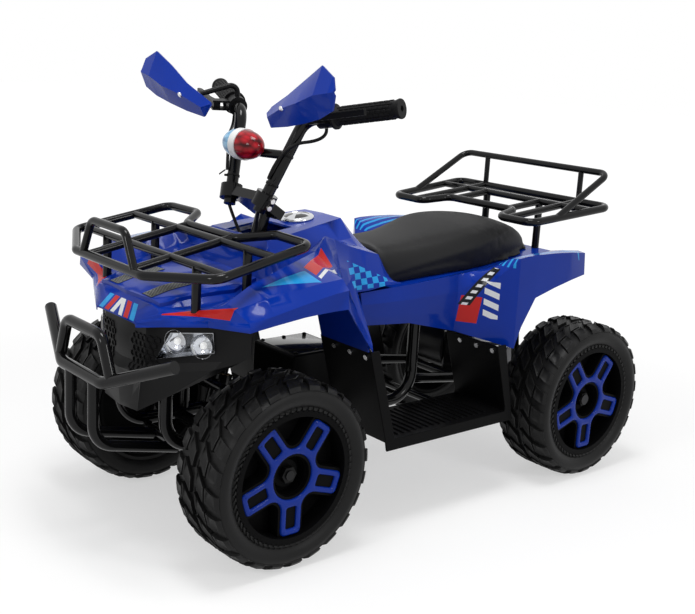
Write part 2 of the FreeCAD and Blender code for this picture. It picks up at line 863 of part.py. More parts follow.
motor_board = box(Vector(plate_x + gap, motor_y - margin, arm_height(motor_y)),
                  Vector(plate_x + gap + size("motor_plate"), motor_y + margin, motor_z + margin))
tubes.append(motor_board)
bores.append(rod(size("shaft_radius") + gap, Vector(plate_x - over, motor_y, motor_z),
                 Vector(plate_x + size("motor_plate") + over, motor_y, motor_z)))
tubes.append(box(Vector(-size("rail_half"), rear_y - size("caliper_length") / 2, bite_z + size("caliper_bite")),
                 Vector(-size("drive_offset") - size("caliper_width") / 2 - gap, rear_y,
                        bite_z + size("caliper_height") - size("ear_thickness"))))
for side in (1, -1):
    low = Vector(side * size("tab_half") - size("tab_width") / 2, tab_y, rail_front_z)
    high = Vector(side * size("tab_half") + size("tab_width") / 2, post_y, rail_front_z + size("tab_thickness"))
    tubes.append(box(low, high))
frame_shape = fused(tubes)
for bore_shape in bores:
    frame_shape = frame_shape.cut(bore_shape)
feature("frame", frame_shape)


# Front body: hood, front fenders and tank in one moulding.
# Each row: share of the length, then the half outline from the middle to the fender's lip as (across, up)
# shares.
FRONT_BODY_SHARES = [
    (0, [(0, 0.017), (0.105, 0.017), (0.161, 0.016), (0.189, 0.015), (0.211, 0.013),
         (0.228, 0.01), (0.242, 0), (0.246, -0.047)]),
    (0.0381, [(0, 0.227), (0.274, 0.22), (0.344, 0.207), (0.368, 0.18), (0.382, 0.147),
              (0.393, 0.113), (0.4, 0.08), (0.404, 0.013)]),
    (0.11, [(0, 0.3), (0.365, 0.28), (0.411, 0.213), (0.491, 0.207), (0.561, 0.2), (0.625, 0.193),
            (0.684, 0.173), (0.691, 0.107)]),
    (0.145, [(0, 0.32), (0.379, 0.3), (0.428, 0.227), (0.589, 0.253), (0.744, 0.367),
             (0.842, 0.347), (0.993, 0.267), (1, 0.167)]),
    (0.234, [(0, 0.36), (0.407, 0.34), (0.477, 0.273), (0.582, 0.327), (0.74, 0.533),
             (0.923, 0.473), (0.996, 0.313), (1, 0.207)]),
    (0.349, [(0, 0.4), (0.432, 0.373), (0.512, 0.327), (0.589, 0.42), (0.698, 0.64),
             (0.933, 0.533), (0.996, 0.393), (1, 0.253)]),
    (0.421, [(0, 0.433), (0.414, 0.407), (0.505, 0.373), (0.572, 0.487), (0.66, 0.687),
             (0.933, 0.567), (0.996, 0.44), (1, 0.267)]),
    (0.467, [(0, 0.827), (0.309, 0.82), (0.442, 0.493), (0.533, 0.533), (0.618, 0.7),
             (0.933, 0.58), (0.996, 0.467), (1, 0.273)]),
    (0.52, [(0, 0.853), (0.298, 0.847), (0.421, 0.6), (0.491, 0.633), (0.568, 0.713),
            (0.93, 0.593), (0.996, 0.487), (1, 0.273)]),
    (0.592, [(0, 0.887), (0.277, 0.88), (0.393, 0.693), (0.442, 0.72), (0.498, 0.733),
             (0.779, 0.467), (0.937, 0.16), (0.947, 0.013)]),
    (0.648, [(0, 0.913), (0.26, 0.907), (0.372, 0.747), (0.414, 0.827), (0.46, 0.887),
             (0.688, 0.333), (0.891, -0.08), (0.902, -0.187)]),
    (0.695, [(0, 0.933), (0.242, 0.927), (0.358, 0.753), (0.404, 0.807), (0.449, 0.833),
             (0.582, 0.267), (0.867, -0.267), (0.877, -0.36)]),
    (0.768, [(0, 0.967), (0.218, 0.96), (0.337, 0.76), (0.389, 0.747), (0.435, 0.727),
             (0.505, 0.433), (0.526, 0.267), (0.53, 0.187)]),
    (0.834, [(0, 0.997), (0.193, 0.987), (0.316, 0.773), (0.375, 0.693), (0.425, 0.66),
             (0.488, 0.413), (0.519, 0.267), (0.523, 0.187)]),
    (0.92, [(0, 0.613), (0.246, 0.607), (0.323, 0.593), (0.372, 0.587), (0.411, 0.573),
            (0.47, 0.367), (0.509, 0.26), (0.516, 0.22)]),
    (1, [(0, 0.18), (0.211, 0.18), (0.298, 0.18), (0.351, 0.18), (0.393, 0.18),
         (0.435, 0.2), (0.484, 0.22), (0.488, 0.2)]),
]
nose_y = front_y - size("nose_overhang")


def front_body_rows():
    rows = []
    for along, half in FRONT_BODY_SHARES:
        y = nose_y + along * size("front_body_length")
        line = [(x * size("fender_half"), body_z + up * size("body_rise")) for x, up in half]
        rows.append((y, line))
    return rows


def hood_z(x, y):
    """Height of the front moulding's outer face over a spot."""
    rows = front_body_rows()
    for (y0, line0), (y1, line1) in zip(rows, rows[1:]):
        if y0 <= y <= y1:
            share = (y - y0) / (y1 - y0)
            line = [(a[0] + (b[0] - a[0]) * share, a[1] + (b[1] - a[1]) * share) for a, b in zip(line0, line1)]
            for (xa, za), (xb, zb) in zip(line, line[1:]):
                if xa <= x <= xb:
                    return za + (zb - za) * (x - xa) / (xb - xa)


sections = []
for y, half in front_body_rows():
    outer = both_sides(half)
    inner = inset(outer, -size("skin"))
    sections.append(([Vector(px, y, pz) for px, pz in outer], [Vector(px, y, pz) for px, pz in inner]))
moulding = skin_loft(sections)
recess_y = nose_y + size("recess_lead")
recess_top = body_z + 2 * size("body_rise")
cuts = [box(Vector(-size("recess_half"), recess_y, body_z),
            Vector(size("recess_half"), recess_y + size("recess_length"), recess_top))]
for y in front_post_ys:
    for side in (1, -1):
        foot = Vector(side * size("front_post_half"), y, body_z - size("skin"))
        cuts.append(rod(size("rack_radius") + size("post_play") / 2, foot, foot + Z * size("body_rise")))
feature("front_body", moulding.cut(Part.makeCompound(cuts)))

# Hood vents: two long mesh plates that lie on the hood.
plates = []
vent_shares = (0.05, 0.11, 0.145, 0.225)
for side in (1, -1):
    wires = []
    for share in vent_shares:
        y = nose_y + share * size("front_body_length")
        ring = []
        for lift in (0, size("vent_thickness")):
            pair = []
            for reach in (-size("vent_half"), size("vent_half")):
                x = size("vent_centre") + reach
                pair.append(Vector(side * x, y, hood_z(x, y) + gap + lift))
            ring += pair if lift == 0 else pair[::-1]
        wires.append(Part.makePolygon(ring + ring[:1]))
    plates.append(Part.makeLoft(wires, True, True))
feature("hood_vents", Part.makeCompound(plates))

# Tank cap: knurled bright cap square to the sloping deck.
cap_y = front_y + size("cap_back")
deck_run = Vector(0, size("cap_radius"), hood_z(0, cap_y + size("cap_radius")) - hood_z(0, cap_y)).normalize()
cap_up = X.cross(deck_run)
cap_foot = Vector(0, cap_y, hood_z(0, cap_y)) + cap_up * gap
cap = doc.addObject("Part::Cylinder", "tank_cap")
cap.setExpression("Radius", expression("cap_radius"))
cap.setExpression("Height", expression("cap_height"))
cap.Placement = Placement(cap_foot, Rotation(Z, cap_up))
keep(cap, "tank_cap")

# Rear body: side panels, seat deck and rear fenders in one moulding.
REAR_BODY_SHARES = [
    (0, [(0.579, 0.588), (0.599, 0.45), (0.595, 0.3), (0.579, 0.2)]),
    (0.227, [(0.587, 0.619), (0.603, 0.438), (0.595, 0.25), (0.583, 0.138)]),
    (0.44, [(0.599, 0.669), (0.611, 0.438), (0.603, 0.188), (0.591, -0.05)]),
    (0.558, [(0.667, 0.738), (0.881, 0.912), (0.992, 0.95), (1, -0.175)]),
    (0.587, [(0.675, 0.756), (0.889, 0.931), (0.992, 0.963), (1, 0.081)]),
    (0.65, [(0.69, 0.794), (0.897, 0.95), (0.992, 0.969), (1, 0.431)]),
    (0.75, [(0.706, 0.838), (0.905, 0.956), (0.988, 0.963), (1, 0.525)]),
    (0.843, [(0.706, 0.863), (0.897, 0.95), (0.98, 0.944), (0.996, 0.594)]),
    (0.939, [(0.683, 0.85), (0.865, 0.912), (0.937, 0.9), (0.952, 0.619)]),
    (1, [(0.595, 0.825), (0.694, 0.838), (0.746, 0.825), (0.762, 0.688)]),
]
floor_shares = (0.4, 0.47)
sections = []
for along, half in REAR_BODY_SHARES:
    y = deck_front_y + along * size("rear_body_length")
    line = [(0, deck_z(y))]
    line += [(share * size("rear_half"), deck_z(y)) for share in floor_shares]
    line += [(x * size("rear_half"), rear_z + up * size("rear_rise")) for x, up in half]
    outer = both_sides(line)
    inner = inset(outer, -size("skin"))
    sections.append(([Vector(px, y, pz) for px, pz in outer], [Vector(px, y, pz) for px, pz in inner]))
moulding = skin_loft(sections)
cuts = []
for side in (1, -1):
    foot = Vector(side * size("rail_half"), rack_post_y, floor_z)
    cuts.append(rod(size("rack_radius") + size("post_play") / 2, foot, foot + Z * size("rear_rise")))
feature("rear_body", moulding.cut(Part.makeCompound(cuts)))

# Seat: padded saddle with a crowned top, drawn-in sides and a raised tail.
SEAT_SHARES = [
    (0.0, 0.78, 0.8), (0.2, 0.85, 0.785), (0.35, 0.93, 0.86), (0.47, 0.985, 0.945), (0.62, 1.0, 0.99),
    (0.72, 0.97, 0.945), (0.83, 0.88, 0.83), (0.94, 0.7, 0.58), (1.0, 0.52, 0.3),
]
SEAT_SIDE_SHARES = [(0.9, 0), (1, 0.42), (0.86, 0.86)]
seat_y = nose_y + size("front_body_length") + size("seat_set")
seat_length = body_end_y - size("seat_tail") - seat_y


def seat_ring(y, foot, half, tall):
    """Cross-section of the cushion: flat foot, rounded sides and a crowned top."""
    low, belly, shoulder = [Vector(x * half, y, foot + up * tall) for x, up in SEAT_SIDE_SHARES]
    low_r, belly_r, shoulder_r = [Vector(-p.x, p.y, p.z) for p in (low, belly, shoulder)]
    return Part.Wire([
        Part.LineSegment(low_r, low).toShape(),
        Part.Arc(low, belly, shoulder).toShape(),
        Part.Arc(shoulder, Vector(0, y, foot + tall), shoulder_r).toShape(),
        Part.Arc(shoulder_r, belly_r, low_r).toShape(),
    ])


wires = []
for along, wide, high in SEAT_SHARES:
    y = seat_y + along * seat_length
    wires.append(seat_ring(y, deck_z(y) + gap, wide * size("seat_half"), high * size("seat_height")))
# The nose leans forward onto the tank's rear slope.
nose_seat_y = seat_y - size("seat_nose_run")
nose_wide_share = 0.72
nose_foot = hood_z(0, nose_seat_y) + size("seat_nose_lift")
nose_wire = seat_ring(nose_seat_y, nose_foot, nose_wide_share * size("seat_half"), size("seat_nose_tall"))
nose = Part.makeLoft([nose_wire, wires[0]], True, True)
feature("seat_cushion", fused([Part.makeLoft(wires, True, False), nose]))

# Foot wells: leg shield, foot board and rear shield bent from one sheet, with an outer skirt.
well_front_y = front_y + size("well_front_back")
well_rear_y = front_y + size("well_rear_back")
well_line = [
    (well_front_y - size("shield_lean"), shield_z), (well_front_y, size("well_floor")),
    (well_rear_y, size("well_floor")), (well_rear_y, size("well_floor") + size("backrest_toe")),
    (well_rear_y - size("backrest_lean"), backrest_z),
]
well_inside = inset(well_line, size("well_wall"))
# The upper ends stay level with the shields' tops.
well_inside[0] = (well_inside[0][0], shield_z)
well_inside[-1] = (well_inside[-1][0], backrest_z)
sheet_ring = [Vector(size("well_inner"), y, z) for y, z in well_line + well_inside[::-1]]
trough = prism(sheet_ring, X * (size("well_outer") - size("well_wall") - size("well_inner")))
run = size("skirt_run")
floor_top = size("well_floor") + size("well_wall")
skirt_ring = [
    well_line[0], (well_front_y, size("well_floor")), (well_front_y + size("well_wall"), size("skirt_low")),
    (well_rear_y + run, size("skirt_low")), (well_line[4][0] + run, backrest_z),
    well_inside[4], well_inside[3], (well_inside[2][0], floor_top),
    (well_front_y + run, floor_top), (well_line[0][0] + run, shield_z),
]
skirt_x = size("well_outer") - size("well_wall")
skirt = prism([Vector(skirt_x, y, z) for y, z in skirt_ring], X * size("well_wall"))
well = fused([trough, skirt])
feature("footwell_left", well)
feature("footwell_right", mirrored(well))

# Body screws: round heads along the tops of the shields.
screw_shares = (0.28, 0.6, 0.9)
heads = []
for top, foot in ((well_line[0], well_line[1]), (well_inside[4], well_inside[3])):
    down = Vector(0, foot[0] - top[0], foot[1] - top[1]).normalize()
    out = X.cross(down)
    if out.y > 0:
        out = out * -1
    for share in screw_shares:
        x = size("well_inner") + share * (size("well_outer") - size("well_inner"))
        for side in (1, -1):
            seat = Vector(side * x, top[0], top[1]) + down * size("screw_drop") + out * (gap / 2)
            heads.append(rod(size("screw_radius"), seat, seat + out * size("screw_height")))
feature("body_screws", Part.makeCompound(heads))

# Battery box between the foot wells, and the battery inside.
box_low = Vector(-size("box_half"), box_y, size("box_base"))
box_high = Vector(size("box_half"), box_y + size("box_length"), size("box_base") + size("box_height"))
wall = Vector(size("box_wall"), size("box_wall"), size("box_wall"))
feature("battery_box", box(box_low, box_high).cut(box(box_low + wall, box_high - wall)))
pack = doc.addObject("Part::Box", "battery_pack")
pack.setExpression("Length", "2 * (Sizes.box_half - Sizes.box_wall - Sizes.fit_gap)")
pack.setExpression("Width", "Sizes.box_length - 2 * (Sizes.box_wall + Sizes.fit_gap)")
pack.setExpression("Height", "Sizes.box_height - 4 * Sizes.box_wall")
pack.Placement = Placement(box_low + wall + Vector(gap, gap, gap), Rotation())
keep(pack, "battery_pack")

# Nose panel: bowed black wall with two lamp windows.
sections = []
for up, slope, half in FASCIA_SHARES:
    base_z = fascia_z + up * size("fascia_height")
    outer = both_sides([(x * size("fascia_half"), fascia_y + back * size("fascia_depth")) for x, back in half])
    inner = inset(outer, size("skin"))
    ring = []
    for line in (outer, inner):
        ring.append([Vector(px, py, base_z + slope * (py - fascia_y)) for px, py in line])
    sections.append(ring)
fascia = skin_loft(sections)
facet_start, facet_end = [
    Vector(x * size("fascia_half"), fascia_y + back * size("fascia_depth"), fascia_z)
    for x, back in FASCIA_SHARES[0][2][1:3]]
facet_run = facet_end - facet_start
facet_out = Vector(facet_run.y, -facet_run.x, 0).normalize()
LAMP_SHARES = [(0.154, 0.63), (0.346, 0.95), (0.892, 1.03), (0.915, 0.815)]
corners = [facet_start + facet_run * along + Z * (up * size("fascia_height")) for along, up in LAMP_SHARES]
middle = (corners[0] + corners[1] + corners[2] + corners[3]) * (1 / len(corners))
opened = [corner + (corner - middle).normalize() * (2 * gap) for corner in corners]
depth = facet_out * (size("lamp_depth") + size("lamp_proud"))
lamp = prism([corner - facet_out * size("lamp_depth") for corner in corners], depth)
window = prism([corner - facet_out * size("lamp_depth") for corner in opened], depth)
fascia = fascia.cut(Part.makeCompound([window, mirrored(window)]))
feature("front_fascia", fascia)
feature("headlight_left", lamp)
feature("headlight_right", mirrored(lamp))

# Front bumper: bent main bar, an upper hoop and two lower legs that reach the frame.
bumper_y = -length / 2 + size("bumper_radius")
bend_spot = Vector(size("bumper_half"), bumper_y, bumper_z)
end_spot = Vector(size("bumper_end_half"), bumper_y + size("bumper_end_run"),
                  bumper_z + size("bumper_end_rise"))
main_bar = tube(size("bumper_radius"), [Vector(-end_spot.x, end_spot.y, end_spot.z),
                                        Vector(-bend_spot.x, bend_spot.y, bend_spot.z), bend_spot, end_spot],
                size("bumper_bend"))
foot_share = (size("hoop_foot_half") - bend_spot.x) / (end_spot.x - bend_spot.x)
hoop_foot = bend_spot + (end_spot - bend_spot) * foot_share
hoop_top = Vector(size("hoop_top_half"), bumper_y + size("hoop_set"),
                  bumper_z + size("hoop_rise"))
upper_hoop = tube(size("hoop_radius"), [Vector(-hoop_foot.x, hoop_foot.y, hoop_foot.z),
                                        Vector(-hoop_top.x, hoop_top.y, hoop_top.z), hoop_top, hoop_foot],
                  size("hoop_bend"))
parts = [main_bar, upper_hoop]
for side in (1, -1):
    x = side * size("leg_half")
    leg_top = Vector(x, bumper_y, bumper_z)
    leg_foot = Vector(x, cross_y - size("cross_radius") - gap, cross_z)
    parts.append(tube(size("hoop_radius"), [leg_top, leg_top - Z * size("leg_drop"), leg_foot], size("leg_bend")))
feature("front_bumper", fused(parts))

# Front rack: platform with rear wings, an upright hoop in front and four posts down to the outriggers.
FRONT_RACK_SHARES = [(0, 0), (0.48, 0), (1, 0.245), (0.94, 0.99), (0.52, 1), (0.33, 0.79), (0, 0.79)]


def front_rack_point(x, y):
    return Vector(x, y, front_rack_z + front_rack_slope * (y - front_rack_y))


ring = [front_rack_point(x * size("front_rack_half"), front_rack_y + back * size("front_rack_length"))
        for x, back in FRONT_RACK_SHARES]
half_loop = tube(size("rack_radius"), ring, size("rack_bend"))
parts = [half_loop, mirrored(half_loop)]
bar_reach_shares = (0.97, 0.95)
post_x = size("front_post_half")
post_feet = (hood_z(post_x, front_post_ys[0]) - size("post_tail"), rail_front_z + size("cross_radius") + gap)
for y, share, foot_z in zip(front_post_ys, bar_reach_shares, post_feet):
    reach = share * size("front_rack_half")
    parts.append(rod(size("rack_bar"), front_rack_point(-reach, y), front_rack_point(reach, y)))
    for side in (1, -1):
        top = front_rack_point(side * post_x, y)
        parts.append(rod(size("rack_radius"), Vector(top.x, y, foot_z), top))
long_shares = (0.3, -0.3)
rear_bar_share = FRONT_RACK_SHARES[-1][1]
for share in long_shares:
    x = share * size("front_rack_half")
    parts.append(rod(size("rack_bar"), front_rack_point(x, front_rack_y),
                     front_rack_point(x, front_rack_y + rear_bar_share * size("front_rack_length"))))
hoop_foot = front_rack_point(size("front_hoop_half"), front_rack_y)
hoop_top = Vector(size("front_hoop_top"), front_rack_y, front_rack_z + size("front_hoop_rise"))
parts.append(tube(size("rack_bar"), [hoop_foot, hoop_top, Vector(-hoop_top.x, hoop_top.y, hoop_top.z),
                                     Vector(-hoop_foot.x, hoop_foot.y, hoop_foot.z)], size("rack_bend")))
feature("front_rack", fused(parts))

# Rear rack: platform with front wings, a raised rail round the back and two posts down to the seat rails.
REAR_RACK_SHARES = [(0, 1), (1, 1), (0.92, 0), (0.52, 0), (0.44, 0.3), (0, 0.3)]
rear_rack_slope = size("rear_rack_rise") / size("rear_rack_length")
rear_rack_end_y = body_end_y + size("rear_rack_tail")
rear_rack_y = rear_rack_end_y - size("rear_rack_length")


def rear_rack_point(x, y):
    return Vector(x, y, rear_rack_z + rear_rack_slope * (y - rear_rack_y))


ring = [rear_rack_point(x * size("rear_rack_half"), rear_rack_y + back * size("rear_rack_length"))
        for x, back in REAR_RACK_SHARES]
half_loop = tube(size("rack_radius"), ring, size("rack_bend"))
parts = [half_loop, mirrored(half_loop)]
bar_reach_share = 0.965
reach = bar_reach_share * size("rear_rack_half")
parts.append(rod(size("rack_bar"), rear_rack_point(-reach, rack_post_y), rear_rack_point(reach, rack_post_y)))
front_bar_y = rear_rack_y + REAR_RACK_SHARES[-1][1] * size("rear_rack_length")
long_shares = (0.62, -0.62)
for share in long_shares:
    x = share * size("rear_rack_half")
    parts.append(rod(size("rack_bar"), rear_rack_point(x, rear_rack_y),
                     rear_rack_point(x, rear_rack_y + size("rear_rack_length"))))
for side in (1, -1):
    x = side * size("rail_half")
    top = rear_rack_point(x, rack_post_y)
    foot_z = deck_z(rack_post_y + size("rack_radius")) - size("skin")
    parts.append(rod(size("rack_radius"), Vector(x, rack_post_y, foot_z), top))
    parts.append(rod(size("rack_bar"), rear_rack_point(x, front_bar_y), rear_rack_point(x, rack_post_y)))
rail_foot_share = 0.945
rail_foot = rear_rack_point(rail_foot_share * size("rear_rack_half"), rear_rack_y + size("rail_foot_lead"))
rail_top = Vector(rail_foot_share * size("rear_rack_half"), rear_rack_end_y,
                  rear_rack_z + size("rear_rack_rise") + size("rail_top_rise"))
parts.append(tube(size("rack_bar"), [rail_foot, rail_top, Vector(-rail_top.x, rail_top.y, rail_top.z),
                                     Vector(-rail_foot.x, rail_foot.y, rail_foot.z)], size("rack_bend")))
feature("rear_rack", fused(parts))

# Steering knuckles: yoke round the kingpin sleeve, wheel spindle and steering arm in one forging.
rod_level = size("column_low") + size("arm_thickness") + gap + size("eye_thickness") / 2
king_level = rod_level + size("column_setback") * sin_rake
arm_run = X * size("arm_spread") + TRAIL * size("arm_length")


def steering_arm(root, level):
    """Flat arm with a pin, below the tie rod's eye."""
    low = level - size("eye_thickness") / 2 - gap - size("arm_thickness")
    base = root + STEER * low
    up = STEER * size("arm_thickness")
    across = STEER.cross(arm_run).normalize() * size("arm_half")
    bar = prism([base + across, base - across, base + arm_run - across, base + arm_run + across], up)
    pin_top = base + arm_run + STEER * (size("arm_thickness") + gap + size("eye_thickness"))
    return [bar, rod(size("arm_half"), base + arm_run, base + arm_run + up),
            rod(size("eye_pin"), base + arm_run, pin_top)]


reach = size("sleeve_half") + gap
outer_reach = reach + size("yoke_thickness")
king_root = kingpin_point(0)
parts = [rod(size("king_radius"), kingpin_point(-outer_reach), kingpin_point(outer_reach))]


def yoke_ring(base, near, far):
    """Flat outline across the kingpin, from a near to a far reach along X."""
    across = TRAIL * size("yoke_half")
    start, end = base + X * near, base + X * far
    return [start - across, end - across, end + across, start + across]


for level in (reach, -outer_reach):
    ring = yoke_ring(kingpin_point(level), -size("yoke_half"), size("yoke_reach"))
    parts.append(prism(ring, STEER * size("yoke_thickness")))
inner_x = size("yoke_reach") - size("yoke_web")
ring = yoke_ring(kingpin_point(-outer_reach), inner_x, size("yoke_reach"))
parts.append(prism(ring, STEER * (2 * outer_reach)))
parts.append(rod(size("spindle_radius"), king_root + X * (inner_x + size("yoke_web") / 2),
                 Vector(wheel_x + size("nut_reach"), front_y, axle_z)))
arm_foot = king_level - size("eye_thickness") / 2 - gap
post_foot = kingpin_point(outer_reach - size("yoke_thickness") / 2)
parts.append(rod(size("arm_half") + size("arm_thickness") / 2, post_foot, kingpin_point(arm_foot)))
parts += steering_arm(king_root, king_level)
knuckle = fused(parts)
feature("knuckle_left", knuckle)
feature("knuckle_right", mirrored(knuckle))

# Tie rods: one straight rod from the column's arm to each knuckle's arm.
inner_eye = column_point(rod_level) + arm_run
outer_eye = kingpin_point(king_level) + arm_run
half_eye = STEER * (size("eye_thickness") / 2)
parts = [rod(size("rod_radius"), inner_eye, outer_eye)]
for eye in (inner_eye, outer_eye):
    parts.append(rod(size("eye_radius"), eye - half_eye, eye + half_eye))
tie = fused(parts)
tie = tie.cut(rod(size("eye_pin") + play, inner_eye - STEER * over * 2, inner_eye + STEER * over * 2))
pin_reach = STEER * (over * 2)
tie = tie.cut(rod(size("eye_pin") + size("eye_play"), outer_eye - pin_reach, outer_eye + pin_reach))
feature("tie_rod_left", tie)
feature("tie_rod_right", mirrored(tie))

# Handlebar: two uprights bent out to the grips, with a bowed brace between them.
column_top = level_point(body_z + size("column_lift"))
bar_foot = column_top + Vector(size("bar_foot_half"), -size("bar_foot_lead"), size("bar_foot_rise"))
bar_knee = bar_foot + Vector(size("bar_knee_run"), size("bar_knee_back"), size("bar_knee_rise"))
bar_end = bar_knee + Vector(size("bar_end_run"), size("bar_end_back"), size("bar_end_rise"))
upright = bar_knee - bar_foot
left_bar = tube(size("bar_radius"), [bar_foot, bar_knee, bar_end], size("bar_bend"))
brace_share = 0.62
brace_spot = bar_foot + upright * brace_share
brace_points = [brace_spot, Vector(size("brace_half"), brace_spot.y - size("brace_bow"), brace_spot.z)]
brace_points += [Vector(-p.x, p.y, p.z) for p in brace_points[::-1]]
brace = tube(size("brace_radius"), brace_points, size("cross_bend"))
handlebar = fused([left_bar, mirrored(left_bar), brace])
feature("handlebar", handlebar)

# Steering column: shaft with the tie rods' arms below and the two bar clamps above.
up_bar = Vector(upright).normalize()
ahead = (up_bar * up_bar.y - Y).normalize()
clamp_share = 0.13
clamp_spot = bar_foot + upright * clamp_share
clamp_half = up_bar * (size("clamp_length") / 2)
clamp = rod(size("clamp_radius"), clamp_spot - clamp_half, clamp_spot + clamp_half)
head_run = Vector(0, clamp_spot.y, clamp_spot.z) - column_top
head_lead = Vector(head_run).normalize()
head_up = head_lead.cross(X)
head_base = column_top - head_up * (size("head_depth") / 2)
head_near = head_base - head_lead * size("head_trail")
head_far = head_base + head_run + head_lead * size("head_lead")
side_run = X * size("head_half")
head = prism([head_near - side_run, head_near + side_run, head_far + side_run, head_far - side_run],
             head_up * size("head_depth"))
parts = [rod(size("column_radius"), column_point(size("column_low")), column_top), clamp, mirrored(clamp), head]
for arm in steering_arm(column_point(0), rod_level):
    parts.append(arm)
    parts.append(mirrored(arm))
column = fused(parts)
bar_hole = rod(size("bar_radius"), bar_foot - upright * clamp_share, bar_foot + upright * (4 * clamp_share))
column = column.cut(bar_hole).cut(mirrored(bar_hole))
feature("steering_column", column)

# Clamp bolts: two bright heads on the outer side of each clamp.
beside_bar = (X - up_bar * up_bar.x).normalize()
heads = []
for step in (-1, 1):
    seat = clamp_spot + up_bar * (step * size("bolt_spread")) + beside_bar * (size("clamp_radius") + gap / 2)
    head = rod(size("bolt_radius"), seat, seat + beside_bar * size("bolt_height"))
    heads += [head, mirrored(head)]
feature("clamp_bolts", Part.makeCompound(heads))

# Grips: ribbed sleeves with an inner flange; the rider's right one twists as the throttle.
out_bar = (bar_end - bar_knee).normalize()
grip_near = bar_knee + out_bar * size("grip_start")
grip_far = bar_end + out_bar * size("grip_over")


def grip_shape(bore):
    sleeve = rod(size("grip_radius"), grip_near, grip_far)
    flange = rod(size("grip_flange"), grip_near, grip_near + out_bar * size("flange_width"))
    return fused([sleeve, flange]).cut(rod(bore, grip_near - out_bar * over, bar_end + out_bar * gap))


feature("grip_left", grip_shape(size("bar_radius")))
feature("throttle_grip", mirrored(grip_shape(size("bar_radius") + play)))

# Hand guards: folded blue shields with a ridge, ahead of the grips.
# Each row: share of the width, then the top edge, ridge and bottom edge as (forward, up) shares.
GUARD_SHARES = [
    (0.0, [(0.2, 0.25), (0.3, 0.215), (0.22, 0.18)]),
    (0.07, [(0.3, 0.32), (0.5, 0.16), (0.3, 0.0)]),
    (0.33, [(0.45, 0.53), (0.75, 0.33), (0.4, 0.06)]),
    (0.58, [(0.5, 0.79), (0.95, 0.44), (0.5, 0.15)]),
    (0.8, [(0.62, 1.0), (1.0, 0.58), (0.6, 0.25)]),
    (0.965, [(0.72, 0.86), (0.95, 0.63), (0.68, 0.38)]),
    (1.0, [(0.76, 0.7), (0.86, 0.65), (0.74, 0.58)]),
]
guard_y = column_top.y - size("guard_lead") + size("guard_depth")
guard_z = column_top.z + size("guard_lift")
sections = []
for along, line in GUARD_SHARES:
    x = size("guard_inner") + along * size("guard_width")
    outer = []
    for lead, up in line:
        outer.append((guard_y - lead * size("guard_depth"), guard_z + up * size("guard_height")))
    inner = inset(outer, size("guard_wall"))
    sections.append(([Vector(x, py, pz) for py, pz in outer], [Vector(x, py, pz) for py, pz in inner]))
guard = skin_loft(sections)
feature("hand_guard_left", guard)
feature("hand_guard_right", mirrored(guard))

# Lever perches: bar clamps with a fork for the brake lever and a bent bracket for the guard.
up_grip = (Z - out_bar * out_bar.z).normalize()
lead_grip = out_bar.cross(up_grip)
perch_near = bar_knee + out_bar * size("perch_start")
perch_far = perch_near + out_bar * size("perch_width")
perch_mid = (perch_near + perch_far) * 0.5
pivot = perch_mid + lead_grip * size("lever_lead")


def perch_block(low, high):
    """Block given by its along, ahead and up limits from the perch's middle."""
    near = perch_mid + up_grip * low[2] + lead_grip * low[1]
    far = perch_mid + up_grip * low[2] + lead_grip * high[1]
    ring = [near + out_bar * low[0], near + out_bar * high[0], far + out_bar * high[0], far + out_bar * low[0]]
    return prism(ring, up_grip * (high[2] - low[2]))


half_lever = size("lever_thickness") / 2
ear = size("ear_half")
fork_high = half_lever + gap + size("ear_thickness")
fork_tip = size("lever_lead") + ear
parts = [rod(size("perch_radius"), perch_near, perch_far)]
parts.append(perch_block((-ear, 0, half_lever + gap), (ear, fork_tip, fork_high)))
parts.append(perch_block((-ear, 0, -fork_high), (ear, fork_tip, -half_lever - gap)))
parts.append(rod(size("lever_pin"), pivot - up_grip * fork_high, pivot + up_grip * fork_high))
mount_x = size("guard_inner") + GUARD_SHARES[2][0] * size("guard_width")
mount_lead, mount_up = GUARD_SHARES[2][1][1]
mount = Vector(mount_x, guard_y - mount_lead * size("guard_depth") + size("guard_wall") + size("bracket_gap"),
               guard_z + mount_up * size("guard_height"))
rise = up_grip * size("bracket_rise")
bracket_points = [perch_mid + up_grip * ((size("bar_radius") + size("perch_radius")) / 2), perch_mid + rise,
                  mount + Y * size("bracket_lead"), mount]
parts.append(tube(size("bracket_radius"), bracket_points, size("bracket_bend")))
perch = fused(parts).cut(rod(size("bar_radius"), perch_near - out_bar * over, perch_far + out_bar * over))
feature("lever_perch_left", perch)
feature("lever_perch_right", mirrored(perch))

# Brake levers: flat blades that swing toward the grips.
LEVER_SHARES = [(-0.06, -0.06), (0.12, -0.065), (0.4, 0.02), (0.93, 0.06), (1.0, 0.1), (0.98, 0.15), (0.92, 0.14),
                (0.4, 0.1), (0.1, 0.075), (-0.06, 0.06)]
base = pivot - up_grip * half_lever
ring = [base + out_bar * (along * size("lever_length")) + lead_grip * (ahead_share * size("lever_length"))
        for along, ahead_share in LEVER_SHARES]
lever = prism(ring, up_grip * size("lever_thickness"))
lever = lever.cut(rod(size("lever_pin") + play, pivot - up_grip * size("lever_thickness"),
                      pivot + up_grip * size("lever_thickness")))
feature("brake_lever_left", lever)
feature("brake_lever_right", mirrored(lever))

